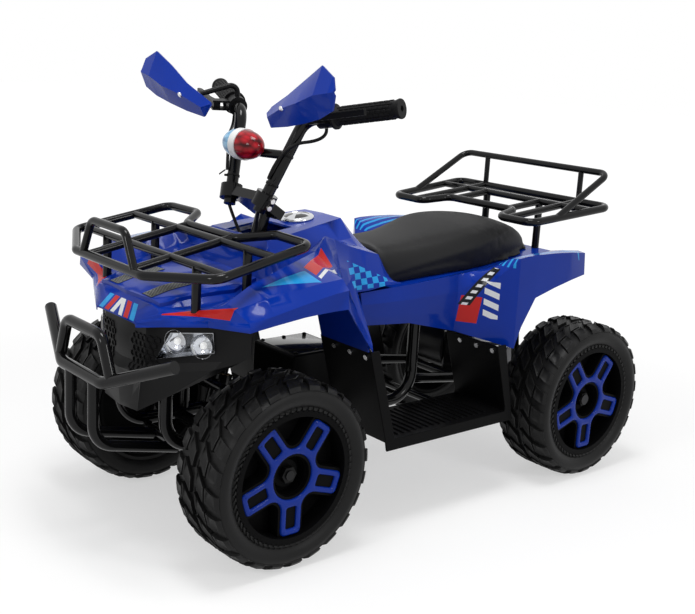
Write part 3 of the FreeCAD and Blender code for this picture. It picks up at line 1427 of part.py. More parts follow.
# Brake cables: from the perches down the uprights' fronts, then out of the uprights' feet into the steering
# recess.
beside = ahead * (size("bar_radius") + size("cable_radius") + gap)
cable_shares = (0.7, 0.34)
high_spot, low_spot = [bar_foot + upright * share + beside for share in cable_shares]
high_spot = high_spot + ahead * size("cable_clear")
perch_exit = perch_mid - up_grip * (size("perch_radius") + gap / 2) + lead_grip * size("cable_radius")
drop_spot = perch_exit - up_grip * size("cable_offset")
upper = tube(size("cable_radius"), [perch_exit, drop_spot, high_spot, low_spot], size("cable_bend"))
foot_end = level_point(body_z + size("cable_lift")) - Y * size("cable_lead")
lower = rod(size("cable_radius"), bar_foot - up_bar * size("cable_seat"), foot_end + X * size("cable_reach"))
feature("brake_cables", Part.makeCompound([upper, lower, mirrored(upper), mirrored(lower)]))

# Siren lamp: white middle band with a red lens on the left and a blue one on the right.
siren_mid = Vector(0, brace_points[1].y - size("siren_lead"), brace_points[1].z + size("siren_rise"))
clear = tube(size("brace_radius") + gap, brace_points, size("cross_bend"))
band = rod(size("siren_radius"), siren_mid - X * size("siren_band"), siren_mid + X * size("siren_band"))
feature("siren_band", band.cut(clear))
lens_share = 0.94
lens_radius = size("siren_radius") * lens_share
lens = rod(lens_radius, siren_mid + X * (size("siren_band") + gap), siren_mid + X * size("siren_half"))
end_edges = [edge for edge in lens.Edges if edge.BoundBox.XMin > siren_mid.x + size("siren_half") - gap]
lens = lens.makeFillet(size("siren_round"), end_edges)
red = lens.cut(clear)
feature("siren_lens_red", red)
feature("siren_lens_blue", mirrored(red))

doc.recompute()
for item in doc.Objects:
    assert "Invalid" not in item.State and "Error" not in item.State, item.Label
os.makedirs("parts", exist_ok=True)
for piece in PIECES:
    assert not piece.Shape.isNull() and piece.Shape.isValid(), piece.Label
    assert piece.Shape.Solids, piece.Label
    piece.Shape.exportStep("parts/" + piece.Label + ".step")
print(len(PIECES), "pieces")
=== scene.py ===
import math

import bmesh
import bpy
from mathutils import Matrix, Vector
from mathutils.bvhtree import BVHTree


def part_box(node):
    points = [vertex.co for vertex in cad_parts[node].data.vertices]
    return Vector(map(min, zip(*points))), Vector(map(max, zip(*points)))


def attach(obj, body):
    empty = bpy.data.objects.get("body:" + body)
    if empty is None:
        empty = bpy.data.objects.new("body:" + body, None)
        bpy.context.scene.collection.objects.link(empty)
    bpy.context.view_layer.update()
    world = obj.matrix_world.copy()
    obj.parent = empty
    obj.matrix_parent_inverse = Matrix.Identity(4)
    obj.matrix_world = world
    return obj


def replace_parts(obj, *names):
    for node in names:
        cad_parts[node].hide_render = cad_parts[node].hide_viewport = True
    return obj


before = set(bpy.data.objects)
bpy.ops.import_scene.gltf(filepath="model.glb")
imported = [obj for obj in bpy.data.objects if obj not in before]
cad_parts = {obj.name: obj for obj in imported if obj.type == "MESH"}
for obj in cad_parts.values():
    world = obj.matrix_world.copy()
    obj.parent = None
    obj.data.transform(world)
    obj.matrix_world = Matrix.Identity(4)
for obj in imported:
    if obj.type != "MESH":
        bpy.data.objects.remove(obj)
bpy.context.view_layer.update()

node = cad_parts

# Studio: a pale floor, an even white sky and three wide lamps round the vehicle.
# The camera stands ahead of the rider's left front wheel, a little higher than the bars.
scene = bpy.context.scene
scene.view_settings.view_transform = "Standard"
photo_width, focal_pixels = 695, 1094.15
camera_place = Vector((1.61215, -1.39464, 0.87001))
camera_azimuth, camera_elevation, camera_roll = [math.radians(a) for a in (49.3, 13.62, 3.37)]
camera_back = Vector((
    math.sin(camera_azimuth) * math.cos(camera_elevation),
    -math.cos(camera_azimuth) * math.cos(camera_elevation),
    math.sin(camera_elevation)))
level_right = Vector((math.cos(camera_azimuth), math.sin(camera_azimuth), 0))
level_up = camera_back.cross(level_right)
camera_right = level_right * math.cos(camera_roll) + level_up * math.sin(camera_roll)
camera_up = level_up * math.cos(camera_roll) - level_right * math.sin(camera_roll)
lens = bpy.data.cameras.new("studio_camera")
lens.sensor_fit = "HORIZONTAL"
lens.sensor_width = 36
lens.lens = lens.sensor_width * focal_pixels / photo_width
camera = bpy.data.objects.new("studio_camera", lens)
turn = Matrix((camera_right, camera_up, camera_back)).transposed().to_4x4()
camera.matrix_world = Matrix.Translation(camera_place) @ turn
scene.collection.objects.link(camera)
scene.camera = camera


class Value:
    """One shader socket, so that shader maths can be written as a sum."""

    def __init__(self, finish, socket):
        self.finish = finish
        self.socket = socket

    def maths(self, operation, first, second=0.0):
        return self.finish.add("ShaderNodeMath", {"operation": operation}, [first, second])

    def __add__(self, other):
        return self.maths("ADD", self, other)

    __radd__ = __add__

    def __sub__(self, other):
        return self.maths("SUBTRACT", self, other)

    def __rsub__(self, other):
        return self.maths("SUBTRACT", other, self)

    def __mul__(self, other):
        return self.maths("MULTIPLY", self, other)

    __rmul__ = __mul__

    def __truediv__(self, other):
        return self.maths("DIVIDE", self, other)

    def __gt__(self, other):
        return self.maths("GREATER_THAN", self, other)

    def __lt__(self, other):
        return self.maths("LESS_THAN", self, other)

    def __abs__(self):
        return self.maths("ABSOLUTE", self)

    def between(self, low, high):
        return (self > low) * (self < high)

    def every(self, step, width):
        return self.maths("FRACT", self / step) < width / step

    def either(self, other):
        return self.maths("MAXIMUM", self, other)

    def ramp(self, low, high):
        return self.finish.add("ShaderNodeMapRange", None, {0: self, 1: low, 2: high})


class Finish:
    """A surface finish: a material with its main shader and the nodes that feed it."""

    def __init__(self, name, constants):
        self.material = bpy.data.materials.new(name)
        self.material.use_nodes = True
        self.tree = self.material.node_tree
        self.shader = self.tree.nodes["Principled BSDF"]
        for socket, value in constants.items():
            self.shader.inputs[socket].default_value = value

    def add(self, kind, settings=None, values=None, outlet=0):
        made = self.tree.nodes.new(kind)
        for setting, value in (settings or {}).items():
            setattr(made, setting, value)
        pairs = values.items() if isinstance(values, dict) else enumerate(values or [])
        for key, value in pairs:
            if isinstance(value, Value):
                self.tree.links.new(value.socket, made.inputs[key])
            else:
                made.inputs[key].default_value = value
        return Value(self, made.outputs[outlet])

    def place(self):
        return self.add("ShaderNodeTexCoord", outlet="Object")

    def axes(self, outlet="Object"):
        vector = self.add("ShaderNodeTexCoord", outlet=outlet)
        split = self.add("ShaderNodeSeparateXYZ", values=[vector]).socket.node
        return [Value(self, axis) for axis in split.outputs]

    def noise(self, scale, detail=2.0):
        return self.add("ShaderNodeTexNoise", None, {"Vector": self.place(), "Scale": scale, "Detail": detail})

    def mix(self, factor, below, above):
        return self.add("ShaderNodeMix", {"data_type": "RGBA"}, {0: factor, 6: below, 7: above}, 2)

    def feed(self, socket, value):
        self.tree.links.new(value.socket, self.shader.inputs[socket])

    def shade(self, cloud, colour, gain):
        """Colour that drifts with a cloud from one shade to a lighter one."""
        lighter = tuple(min(1.0, c * gain) for c in colour[:3]) + (1,)
        self.feed("Base Color", self.mix(cloud, colour, lighter))

    def bump(self, height, strength, distance):
        raised = {"Height": height, "Strength": strength, "Distance": distance}
        self.feed("Normal", self.add("ShaderNodeBump", None, raised))


floor_half, near_square, far_square = 14, 0.9, 2.6
floor_mesh = bmesh.new()
bmesh.ops.create_grid(floor_mesh, x_segments=1, y_segments=1, size=floor_half)
floor_data = bpy.data.meshes.new("floor")
floor_mesh.to_mesh(floor_data)
floor = bpy.data.objects.new("floor", floor_data)
scene.collection.objects.link(floor)
floor_finish = Finish("pale_floor", {"Roughness": 0.9, "Emission Strength": 1.0})
rays = floor_finish.add("ShaderNodeLightPath").socket.node.outputs
seen = Value(floor_finish, rays["Is Camera Ray"]).either(Value(floor_finish, rays["Is Glossy Ray"]))
seen = seen.either(Value(floor_finish, rays["Is Transmission Ray"]))
floor_x, floor_y, _ = floor_finish.axes()
far = (floor_x * floor_x + floor_y * floor_y).ramp(near_square, far_square) * seen
floor_white = floor_finish.mix(far, (0.52, 0.52, 0.52, 1), (1, 1, 1, 1))
floor_finish.feed("Base Color", floor_finish.mix(far, (0.5, 0.5, 0.5, 1), (0, 0, 0, 1)))
floor_finish.feed("Emission Color", floor_finish.mix(seen, (0, 0, 0, 1), floor_white))
floor_data.materials.append(floor_finish.material)

sky = bpy.data.worlds.new("even_sky")
sky.use_nodes = True
scene.world = sky
sky_tree = sky.node_tree
sky_light, sky_seen = sky_tree.nodes["Background"], sky_tree.nodes.new("ShaderNodeBackground")
for background, strength in ((sky_light, 0.5), (sky_seen, 1.0)):
    background.inputs["Color"].default_value = (1, 1, 1, 1)
    background.inputs["Strength"].default_value = strength
sky_rays = sky_tree.nodes.new("ShaderNodeLightPath").outputs
first_two, all_three = [sky_tree.nodes.new("ShaderNodeMath") for _ in range(2)]
for either in (first_two, all_three):
    either.operation = "MAXIMUM"
sky_mix = sky_tree.nodes.new("ShaderNodeMixShader")
for outlet, inlet in (
        (sky_rays["Is Camera Ray"], first_two.inputs[0]), (sky_rays["Is Glossy Ray"], first_two.inputs[1]),
        (first_two.outputs[0], all_three.inputs[0]), (sky_rays["Is Transmission Ray"], all_three.inputs[1]),
        (all_three.outputs[0], sky_mix.inputs[0]), (sky_light.outputs[0], sky_mix.inputs[1]),
        (sky_seen.outputs[0], sky_mix.inputs[2]),
        (sky_mix.outputs[0], sky_tree.nodes["World Output"].inputs[0])):
    sky_tree.links.new(outlet, inlet)


def lamp(name, place, aim, width, power):
    """A square soft lamp that points from its place to its aim."""
    light = bpy.data.lights.new(name, "AREA")
    light.size = width
    light.energy = power
    holder = bpy.data.objects.new(name, light)
    away = (Vector(place) - Vector(aim)).to_track_quat("Z", "Y").to_matrix().to_4x4()
    holder.matrix_world = Matrix.Translation(place) @ away
    scene.collection.objects.link(holder)


lamp("top_lamp", (0.3, -0.4, 3.0), (0, 0, 0.3), 0.9, 38)
lamp("front_lamp", (0.4, -3.0, 1.6), (0, -0.2, 0.4), 0.6, 14)
lamp("side_lamp", (3.0, 0.6, 1.6), (0, 0, 0.4), 0.6, 14)


# Tube frame: welded steel tube loops with the front axle beam, rear arms and brackets, sprayed satin black.
# The bumper, racks, knuckles, tie rods, column and handlebar wear the same powder coat.
def dress(finish, *names):
    """Gives frame nodes a finish of their own."""
    for name in names:
        node[name].data.materials.clear()
        node[name].data.materials.append(finish.material)


black_tube = Finish("black_tube", {"IOR": 1.26, "Coat Weight": 0.08, "Coat Roughness": 0.06})
coat_cloud = black_tube.noise(7)
black_tube.shade(coat_cloud, (0.0035, 0.0035, 0.0038, 1), 1.7)
black_tube.feed("Roughness", coat_cloud * 0.08 + 0.08)
black_tube.bump(black_tube.noise(1300, 4), 0.1, 0.0003)
dress(black_tube, "frame", "front_bumper", "front_rack", "rear_rack", "handlebar", "steering_column",
      "knuckle_left", "knuckle_right", "tie_rod_left", "tie_rod_right")


# Rear drive: motor, chain, axle with sprocket and disc brake, and the bushes of the steering column.
# Turned and stamped steel, left bare, with a black motor can.
def steel_finish(name, colour, roughness):
    """Bare or plated metal with a faint streak in its colour and gloss."""
    finish = Finish(name, {"Metallic": 1.0})
    streak = finish.noise(60, 4)
    finish.shade(streak, colour, 1.25)
    finish.feed("Roughness", streak * 0.16 + (roughness - 0.08))
    finish.bump(finish.noise(800, 2), 0.06, 0.0002)
    return finish


bare_steel = steel_finish("bare_steel", (0.2, 0.2, 0.21, 1), 0.38)
dress(bare_steel, "axle_sprocket", "brake_disc", "drive_chain", "motor_pinion", "axle_bearings",
      "brake_caliper")
dark_steel = steel_finish("dark_steel", (0.03, 0.03, 0.032, 1), 0.4)
dress(dark_steel, "rear_axle")
bush_bronze = steel_finish("bush_bronze", (0.42, 0.28, 0.12, 1), 0.4)
dress(bush_bronze, "column_bushes")


def grained(name, colour, roughness, scale, depth, gloss=1.22):
    """A moulded or painted surface: slight cloud in colour and gloss, and a fine grain."""
    finish = Finish(name, {"IOR": gloss})
    cloud = finish.noise(11)
    finish.shade(cloud, colour, 1.6)
    finish.feed("Roughness", cloud * 0.16 + (roughness - 0.08))
    finish.bump(finish.noise(scale, 3), 0.3, depth)
    return finish


motor_black = grained("motor_black", (0.006, 0.006, 0.0065, 1), 0.4, 700, 0.0003)
dress(motor_black, "motor", "battery_pack")


# Tyres: four alike, moulded in black rubber, with deep staggered lugs and a ring of teeth at the bead.
# Each is pressed over its rim. The mesh is shaped once and set four times.
WHEELS = [
    ("front_left", "wheel_front_left", 1), ("front_right", "wheel_front_right", -1),
    ("rear_left", "rear_axle", 1), ("rear_right", "rear_axle", -1),
]
tyre_half_line = [
    (0.0490, 0.1126), (0.0530, 0.1142), (0.0548, 0.1160), (0.0552, 0.1215), (0.0540, 0.1228), (0.0570, 0.1262),
    (0.0606, 0.1320), (0.0622, 0.1390), (0.0614, 0.1452), (0.0590, 0.1496), (0.0596, 0.1506), (0.0560, 0.1530),
    (0.0490, 0.1558), (0.0350, 0.1574), (0.0130, 0.1578), (0.0016, 0.1579), (0.0010, 0.1596),
]
shoulder_line = [
    (0.0345, 0.1558), (0.0345, 0.1636), (0.0370, 0.1641), (0.0480, 0.1626), (0.0560, 0.1590), (0.0606, 0.1530),
    (0.0588, 0.1496), (0.0540, 0.1524), (0.0470, 0.1550),
]
block_line = [
    (0.0060, 0.1566), (0.0060, 0.1642), (0.0080, 0.1647), (0.0290, 0.1645), (0.0310, 0.1640), (0.0310, 0.1562),
]
tyre_steps, lug_count, tooth_count = 120, 24, 64
lug_rows = [(shoulder_line, 8.4, 2.6, 0), (block_line, 9.6, 6.5, 0.42)]
lug_rim, lug_dish, lug_edge, lug_outer = 0.0034, 0.002, 0.0006, 0.055
tooth_foot, tooth_tip, tooth_depth, tooth_across, bead_radius = 0.006, 0.0046, 0.0034, 0.0553, 0.1182


def piece(name, mesh, finish, body, smooth=True):
    """Puts a finished bmesh into the scene as a piece that rides on a body."""
    bmesh.ops.recalc_face_normals(mesh, faces=mesh.faces)
    for face in mesh.faces:
        face.smooth = smooth
    data = bpy.data.meshes.new(name)
    mesh.to_mesh(data)
    mesh.free()
    data.materials.append(finish.material)
    made = bpy.data.objects.new(name, data)
    scene.collection.objects.link(made)
    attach(made, body)
    return made


def stamp(mesh, shape, turns):
    """Sets a copy of a small shape into a mesh at each place."""
    for turn_to in turns:
        start = len(mesh.verts)
        mesh.from_mesh(shape)
        mesh.verts.ensure_lookup_table()
        bmesh.ops.transform(mesh, matrix=turn_to, verts=mesh.verts[start:])


def round_about_x(count, offset=0.0):
    """The turns of a ring of like shapes about the wheel's axis."""
    return [Matrix.Rotation(2 * math.pi * (i + offset) / count, 4, "X") for i in range(count)]


def as_data(mesh, name):
    """Keeps a bmesh as mesh data to be stamped or set several times."""
    data = bpy.data.meshes.new(name)
    mesh.to_mesh(data)
    mesh.free()
    return data


def turn_mesh(mesh, angle, axis):
    """Turns a whole mesh about an axis through the origin."""
    bmesh.ops.rotate(mesh, cent=(0, 0, 0), matrix=Matrix.Rotation(angle, 3, axis), verts=mesh.verts)


def lug_shape(line, angle, slant):
    """One block of tread: an outline across the tyre, spun over an angle and slanted, with a rim on its top."""
    lug = bmesh.new()
    side = lug.faces.new([lug.verts.new((x, 0, r)) for x, r in line])
    turn_mesh(lug, -angle / 2, "X")
    bmesh.ops.spin(lug, geom=[side], axis=(1, 0, 0), cent=(0, 0, 0), angle=angle, steps=2)
    for vert in lug.verts:
        vert.co.rotate(Matrix.Rotation(slant * (vert.co.x - line[0][0]), 3, "X"))
    bmesh.ops.recalc_face_normals(lug, faces=lug.faces)
    tops = [f for f in lug.faces if f.normal.z > 0.6 and f.calc_center_median().x < lug_outer]
    bmesh.ops.inset_region(lug, faces=tops, thickness=lug_rim, depth=-lug_dish, use_even_offset=True)
    edges = [e for e in lug.edges if len(e.link_faces) == 2 and e.calc_face_angle() > math.radians(35)]
    bmesh.ops.bevel(lug, geom=edges, offset=lug_edge, offset_type="OFFSET", affect="EDGES", segments=1,
                    profile=0.5, material=-1, clamp_overlap=True)
    return as_data(lug, "tyre_lug")


def tyre_shape():
    """The closed tyre with its lugs, shoulder to shoulder, and the teeth on its outer side."""
    mesh = bmesh.new()
    line = tyre_half_line + [(-x, r) for x, r in reversed(tyre_half_line)]
    verts = [mesh.verts.new((x, 0, r)) for x, r in line]
    edges = [mesh.edges.new(pair) for pair in zip(verts, verts[1:] + verts[:1])]
    bmesh.ops.spin(mesh, geom=verts + edges, axis=(1, 0, 0), cent=(0, 0, 0), angle=2 * math.pi,
                   steps=tyre_steps, use_merge=True)
    about_z = Matrix.Rotation(math.pi, 4, "Z")
    for line, angle, slant, offset in lug_rows:
        lug_data = lug_shape(line, math.radians(angle), slant)
        stamp(mesh, lug_data, round_about_x(lug_count, offset))
        stamp(mesh, lug_data, [turn_to @ about_z for turn_to in round_about_x(lug_count, offset + 0.5)])
    tooth = bmesh.new()
    bmesh.ops.create_cone(tooth, cap_ends=True, segments=3, radius1=tooth_foot, radius2=tooth_tip,
                          depth=tooth_depth)
    turn_mesh(tooth, math.pi / 2, "Y")
    bmesh.ops.translate(tooth, vec=(tooth_across, 0, bead_radius), verts=tooth.verts)
    stamp(mesh, as_data(tooth, "bead_tooth"), round_about_x(tooth_count))
    return as_data(mesh, "tyre_shape")


def wheel_place(name, side):
    """Where a wheel's middle is, with the wheel's own +X pointing away from the vehicle."""
    low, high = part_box("tyre_" + name)
    flip = Matrix.Identity(4) if side > 0 else Matrix.Rotation(math.pi, 4, "Z")
    return Matrix.Translation((low + high) / 2) @ flip


def set_piece(name, data, place, finish, body):
    """A copy of shaped mesh data, set in place on a body."""
    mesh = bmesh.new()
    mesh.from_mesh(data)
    bmesh.ops.transform(mesh, matrix=place, verts=mesh.verts)
    return piece(name, mesh, finish, body)


def sharp_above(made, angle):
    """Smooth shading that still breaks at sharp edges."""
    made.data.set_sharp_from_angle(angle=math.radians(angle))


tyre_rubber = Finish("tyre_rubber", {"IOR": 1.25})
dust = tyre_rubber.noise(16, 5)
tyre_rubber.feed("Base Color", tyre_rubber.mix(dust, (0.004, 0.004, 0.0043, 1), (0.013, 0.013, 0.013, 1)))
tyre_rubber.feed("Roughness", dust * 0.2 + 0.34)
tyre_rubber.bump(tyre_rubber.noise(700, 4), 0.2, 0.0004)
tyre_data = tyre_shape()
for name, body, side in WHEELS:
    tyre = set_piece("tyre_" + name + "_rubber", tyre_data, wheel_place(name, side), tyre_rubber, body)
    sharp_above(tyre, 32)
    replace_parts(tyre, "tyre_" + name)


# Rims and trims: a dished black rim with a flat star face, and a blue five-spoke trim clipped on it.
# Both are moulded plastic, with arcs at every corner. A hexagon nut holds every hub.
spoke_total = 5
half_pitch, quarter = math.pi / spoke_total, math.pi / 2
trim_window = (0.0105, 0.0535, 0.0925, 0.004)
face_shift, trim_shift = Matrix.Translation((0.016, 0, 0)), Matrix.Translation((0.0403, 0, 0))
blue_deep, blue_bright = (0.0015, 0.025, 0.28, 1), (0.0025, 0.036, 0.37, 1)


def round_edges(mesh, radius, angle=20, segments=2):
    """Rounds every edge that is sharper than an angle, as a mould does."""
    limit = math.radians(angle)
    sharp = [e for e in mesh.edges if len(e.link_faces) == 2 and e.calc_face_angle() > limit]
    bmesh.ops.bevel(mesh, geom=sharp, offset=radius, offset_type="OFFSET", affect="EDGES", segments=segments,
                    profile=0.5, material=-1, clamp_overlap=True, loop_slide=True)


def blue_finish(name, coat, stickers=None):
    """Glossy blue plastic: a faint cloud in the colour, fine peel in the gloss, and film on its outer faces."""
    finish = Finish(name, {"Coat Weight": coat, "Coat Roughness": 0.03, "IOR": 1.18})
    cloud = finish.noise(9)
    colour = finish.mix(cloud, blue_deep, blue_bright)
    if stickers:
        across = finish.axes()[0]
        facing_x, facing_y, facing_z = finish.axes("Normal")
        outside = facing_x * across.maths("SIGN", across) - facing_y + facing_z > 0
        for mask, sticker in stickers(finish):
            colour = finish.mix(mask * outside, colour, sticker)
    finish.feed("Base Color", colour)
    finish.feed("Roughness", cloud * 0.1 + 0.14)
    finish.bump(finish.noise(420, 3), 0.05, 0.0003)
    return finish


def thicken(mesh, along):
    """Makes a flat sheet a slab, by extruding the whole of it."""
    grown = bmesh.ops.extrude_face_region(mesh, geom=list(mesh.faces))["geom"]
    raised = [g for g in grown if isinstance(g, bmesh.types.BMVert)]
    bmesh.ops.translate(mesh, vec=along, verts=raised)
    bmesh.ops.recalc_face_normals(mesh, faces=mesh.faces)


def arc(mesh, centre, start, angle, steps):
    """An arc of edges round an X axis through a centre; gives its first and last corner."""
    first = mesh.verts.new(start)
    swept = bmesh.ops.spin(mesh, geom=[first], cent=centre, axis=(1, 0, 0), angle=angle, steps=steps)
    return first, next(g for g in swept["geom_last"] if isinstance(g, bmesh.types.BMVert))


def join_round(mesh, arcs):
    """Closes a ring of arcs with straight edges."""
    for (_, last), (first, _) in zip(arcs, arcs[1:] + arcs[:1]):
        mesh.edges.new((last, first))


def spoke_turn(spoke):
    """The turn of one spoke, the first pointing down."""
    return Matrix.Rotation(math.pi + 2 * half_pitch * spoke, 3, "X")


def star_mesh(half, reach, valley_radius, corner_radius, bore, thickness, edge, window=None):
    """A flat five-spoke star round the X axis, one spoke down, with a bore and optional slots."""
    mesh = bmesh.new()
    outline = []
    centre_out = (half + valley_radius) / math.sin(half_pitch)
    for spoke in range(spoke_total):
        spin_to = spoke_turn(spoke)
        for y, offset in ((half, (0, corner_radius, 0)), (-half, (0, 0, corner_radius))):
            centre = Vector((0, y - math.copysign(corner_radius, y), reach - corner_radius))
            outline.append(arc(mesh, spin_to @ centre, spin_to @ (centre + Vector(offset)), quarter, 6))
        centre = Vector((0, -half - valley_radius, centre_out * math.cos(half_pitch)))
        start = centre + Vector((0, valley_radius, 0))
        outline.append(arc(mesh, spin_to @ centre, spin_to @ start, 2 * half_pitch - math.pi, 14))
    join_round(mesh, outline)
    bmesh.ops.create_circle(mesh, segments=60, radius=bore, matrix=Matrix.Rotation(quarter, 4, "Y"))
    if window:
        width, near, far, round_radius = window
        across, low, high = width - round_radius, near + round_radius, far - round_radius
        for spoke in range(spoke_total):
            spin_to = spoke_turn(spoke)
            slot = []
            for corner, (y, z) in enumerate(((across, high), (-across, high), (-across, low), (across, low))):
                centre = Vector((0, y, z))
                start = centre + Matrix.Rotation(quarter * corner, 3, "X") @ Vector((0, round_radius, 0))
                slot.append(arc(mesh, spin_to @ centre, spin_to @ start, quarter, 4))
            join_round(mesh, slot)
    bmesh.ops.triangle_fill(mesh, edges=mesh.edges, use_beauty=True, normal=(1, 0, 0))
    thicken(mesh, (thickness, 0, 0))
    round_edges(mesh, edge, 50, 3)
    return mesh


rim_black = grained("rim_black", (0.0025, 0.0025, 0.0027, 1), 0.5, 900, 0.0002, 1.12)
trim_blue = blue_finish("trim_blue", 0.15)
nut_black = grained("nut_black", (0.004, 0.004, 0.004, 1), 0.42, 600, 0.0002)
trim_data = as_data(star_mesh(half=0.0205, reach=0.1035, valley_radius=0.0215, corner_radius=0.0085, bore=0.04,
                              thickness=0.0125, edge=0.0036, window=trim_window), "trim_shape")
face_data = as_data(star_mesh(half=0.0252, reach=0.109, valley_radius=0.0168, corner_radius=0.01, bore=0.0355,
                              thickness=0.0322, edge=0.0014), "rim_face_shape")
for name, body, side in WHEELS:
    place = wheel_place(name, side)
    face = set_piece("rim_face_" + name, face_data, place @ face_shift, rim_black, body)
    sharp_above(face, 32)
    trim = set_piece("trim_" + name + "_star", trim_data, place @ trim_shift, trim_blue, body)
    sharp_above(trim, 32)
    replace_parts(trim, "spoke_trim_" + name)
    dress(rim_black, "rim_" + name)
dress(nut_black, "wheel_nut_front_left", "wheel_nut_front_right", "wheel_nuts_rear")


# Battery box: a black moulded box on the frame's rests, below the tank, with its lid screwed down.
# Only its front half shows between the front tyre and the leg shield.
def node_mesh(name, flat=0.6):
    """A merged copy of a frame node's mesh, with its flat areas joined up."""
    mesh = bmesh.new()
    mesh.from_mesh(node[name].data)
    bmesh.ops.remove_doubles(mesh, verts=mesh.verts, dist=0.00002)
    limit = math.radians(flat)
    bmesh.ops.dissolve_limit(mesh, angle_limit=limit, verts=mesh.verts, edges=mesh.edges, delimit=set())
    return mesh


def even_shading(made):
    """Keeps large faces flat in the shading and lets only the rounded edges turn."""
    weighted = made.modifiers.new("even_shading", "WEIGHTED_NORMAL")
    weighted.keep_sharp = True
    weighted.weight = 60


def moulded(name, part, radius, angle, segments, finish, body):
    """A piece that stands for a node, with the node's edges rounded."""
    mesh = node_mesh(part)
    round_edges(mesh, radius, angle, segments)
    made = piece(name, mesh, finish, body)
    even_shading(made)
    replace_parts(made, part)
    return made


def rounded_box(size, edge, segments):
    """A block with rounded edges."""
    block = bmesh.new()
    bmesh.ops.create_cube(block, size=1)
    bmesh.ops.scale(block, vec=size, verts=block.verts)
    round_edges(block, edge, 40, segments)
    return block


def screw_head(radius, rise, around, rings):
    """A low dome, to be stamped wherever a screw sits."""
    head = bmesh.new()
    bmesh.ops.create_uvsphere(head, u_segments=around, v_segments=rings, radius=radius)
    bmesh.ops.scale(head, vec=(1, 1, rise), verts=head.verts)
    return as_data(head, "screw_head")


lid_inset, lid_half_height, lid_edge, screw_inset = 0.008, 0.0016, 0.0012, 0.013
black_plastic = grained("black_plastic", (0.0025, 0.0025, 0.0027, 1), 0.42, 1200, 0.0002, 1.13)
moulded("battery_box_shell", "battery_box", 0.004, 40, 3, black_plastic, "chassis")
box_low, box_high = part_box("battery_box")
lid_middle = Vector(((box_low.x + box_high.x) / 2, (box_low.y + box_high.y) / 2, box_high.z))
lid_half = (Vector(box_high) - Vector(box_low)) / 2
lid_size = (2 * (lid_half.x - lid_inset), 2 * (lid_half.y - lid_inset), 2 * lid_half_height)
lid = rounded_box(lid_size, lid_edge, 2)
bmesh.ops.translate(lid, vec=lid_middle, verts=lid.verts)
# The lid's black is lighter than the box's: a painted reflection of the bright sky, over the lid's real gloss.
lid_gloss_painted_reflection = grained("lid_gloss_painted_reflection", (0.012, 0.012, 0.0125, 1), 0.11, 90, 0.00005, 1.5)
sharp_above(piece("battery_box_lid", lid, lid_gloss_painted_reflection, "chassis"), 40)
lid_screws = bmesh.new()
screw_x, screw_y = lid_half.x - screw_inset, lid_half.y - screw_inset
screw_places = [lid_middle + Vector((x, y, lid_half_height)) for x in (-screw_x, screw_x)
                for y in (-screw_y, 0, screw_y)]
stamp(lid_screws, screw_head(0.0042, 0.6, 14, 8), [Matrix.Translation(place) for place in screw_places])
piece("lid_screws", lid_screws, black_plastic, "chassis")


# Foot wells: leg shield, ribbed board, rear shield and outer skirt, moulded in one black piece a side.
# Raised bars across the board keep a shoe from slipping.
HANDS = [("left", 1), ("right", -1)]
bar_rows, bar_half, bar_width, bar_height, bar_edge = 17, 0.056, 0.0055, 0.0024, 0.0011
board_front, board_rear, board_across, board_level = -0.085, 0.165, 0.178, 0.172
bar_step = (board_rear - board_front) / (bar_rows - 1)
bar_data = as_data(rounded_box((2 * bar_half, bar_width, 2 * bar_height), bar_edge, 2), "board_bar")
for hand, side in HANDS:
    moulded("footwell_" + hand + "_moulding", "footwell_" + hand, 0.0016, 30, 2, black_plastic, "chassis")
    bars = bmesh.new()
    stamp(bars, bar_data, [Matrix.Translation((side * board_across, board_front + row * bar_step, board_level))
                           for row in range(bar_rows)])
    sharp_above(piece("board_bars_" + hand, bars, black_plastic, "chassis"), 40)


# Blue body mouldings: hood with front fenders and tank, and side panels with rear fenders.
# Both are injection-moulded glossy plastic with printed film on them, screwed together over the tube frame.
sticker_red, sticker_cyan = (0.56, 0.02, 0.018, 1), (0.02, 0.33, 0.75, 1)
sticker_white, sticker_black = (0.78, 0.79, 0.8, 1), (0.008, 0.009, 0.012, 1)


def front_stickers(finish):
    """Bars on the nose, a wedge on each fender's front, a flag on its top and checks beside the tank."""
    x, y, z = finish.axes()
    side = abs(x)
    nose = (y < -0.505) * z.between(0.4015, 0.426)
    nose_lean = side + (z - 0.41) * 0.5
    wedge_run = side - 0.112
    wedge = (y < -0.436) * wedge_run.between(0, 0.128)
    wedge = wedge * (z - wedge_run * 0.115 > 0.4215) * (z - wedge_run * 0.25 < 0.4235)
    top_run = y + 0.386
    dart = (z > 0.455) * top_run.between(0, 0.094)
    dart = dart * (side + top_run * 0.11 > 0.227) * (side - top_run * 0.38 < 0.227)
    flag_lean = side + (y + 0.288) * 0.72
    flag = (z > 0.455) * y.between(-0.284, -0.2)
    tank = y.between(-0.135, -0.035) * (side > 0.13) * (z > 0.432) * (z + y * 0.42 < 0.43)
    checks = tank * abs(y.every(0.03, 0.015) - z.every(0.022, 0.011))
    return [
        (nose * nose_lean.between(0.004, 0.016), sticker_white),
        (nose * nose_lean.between(0.022, 0.036), sticker_red),
        (nose * nose_lean.between(0.042, 0.056), sticker_cyan),
        (wedge, sticker_red), (dart, sticker_cyan),
        (flag * flag_lean.between(0.206, 0.24), sticker_red),
        (flag * flag_lean.between(0.246, 0.254), sticker_white),
        (checks, sticker_cyan),
    ]


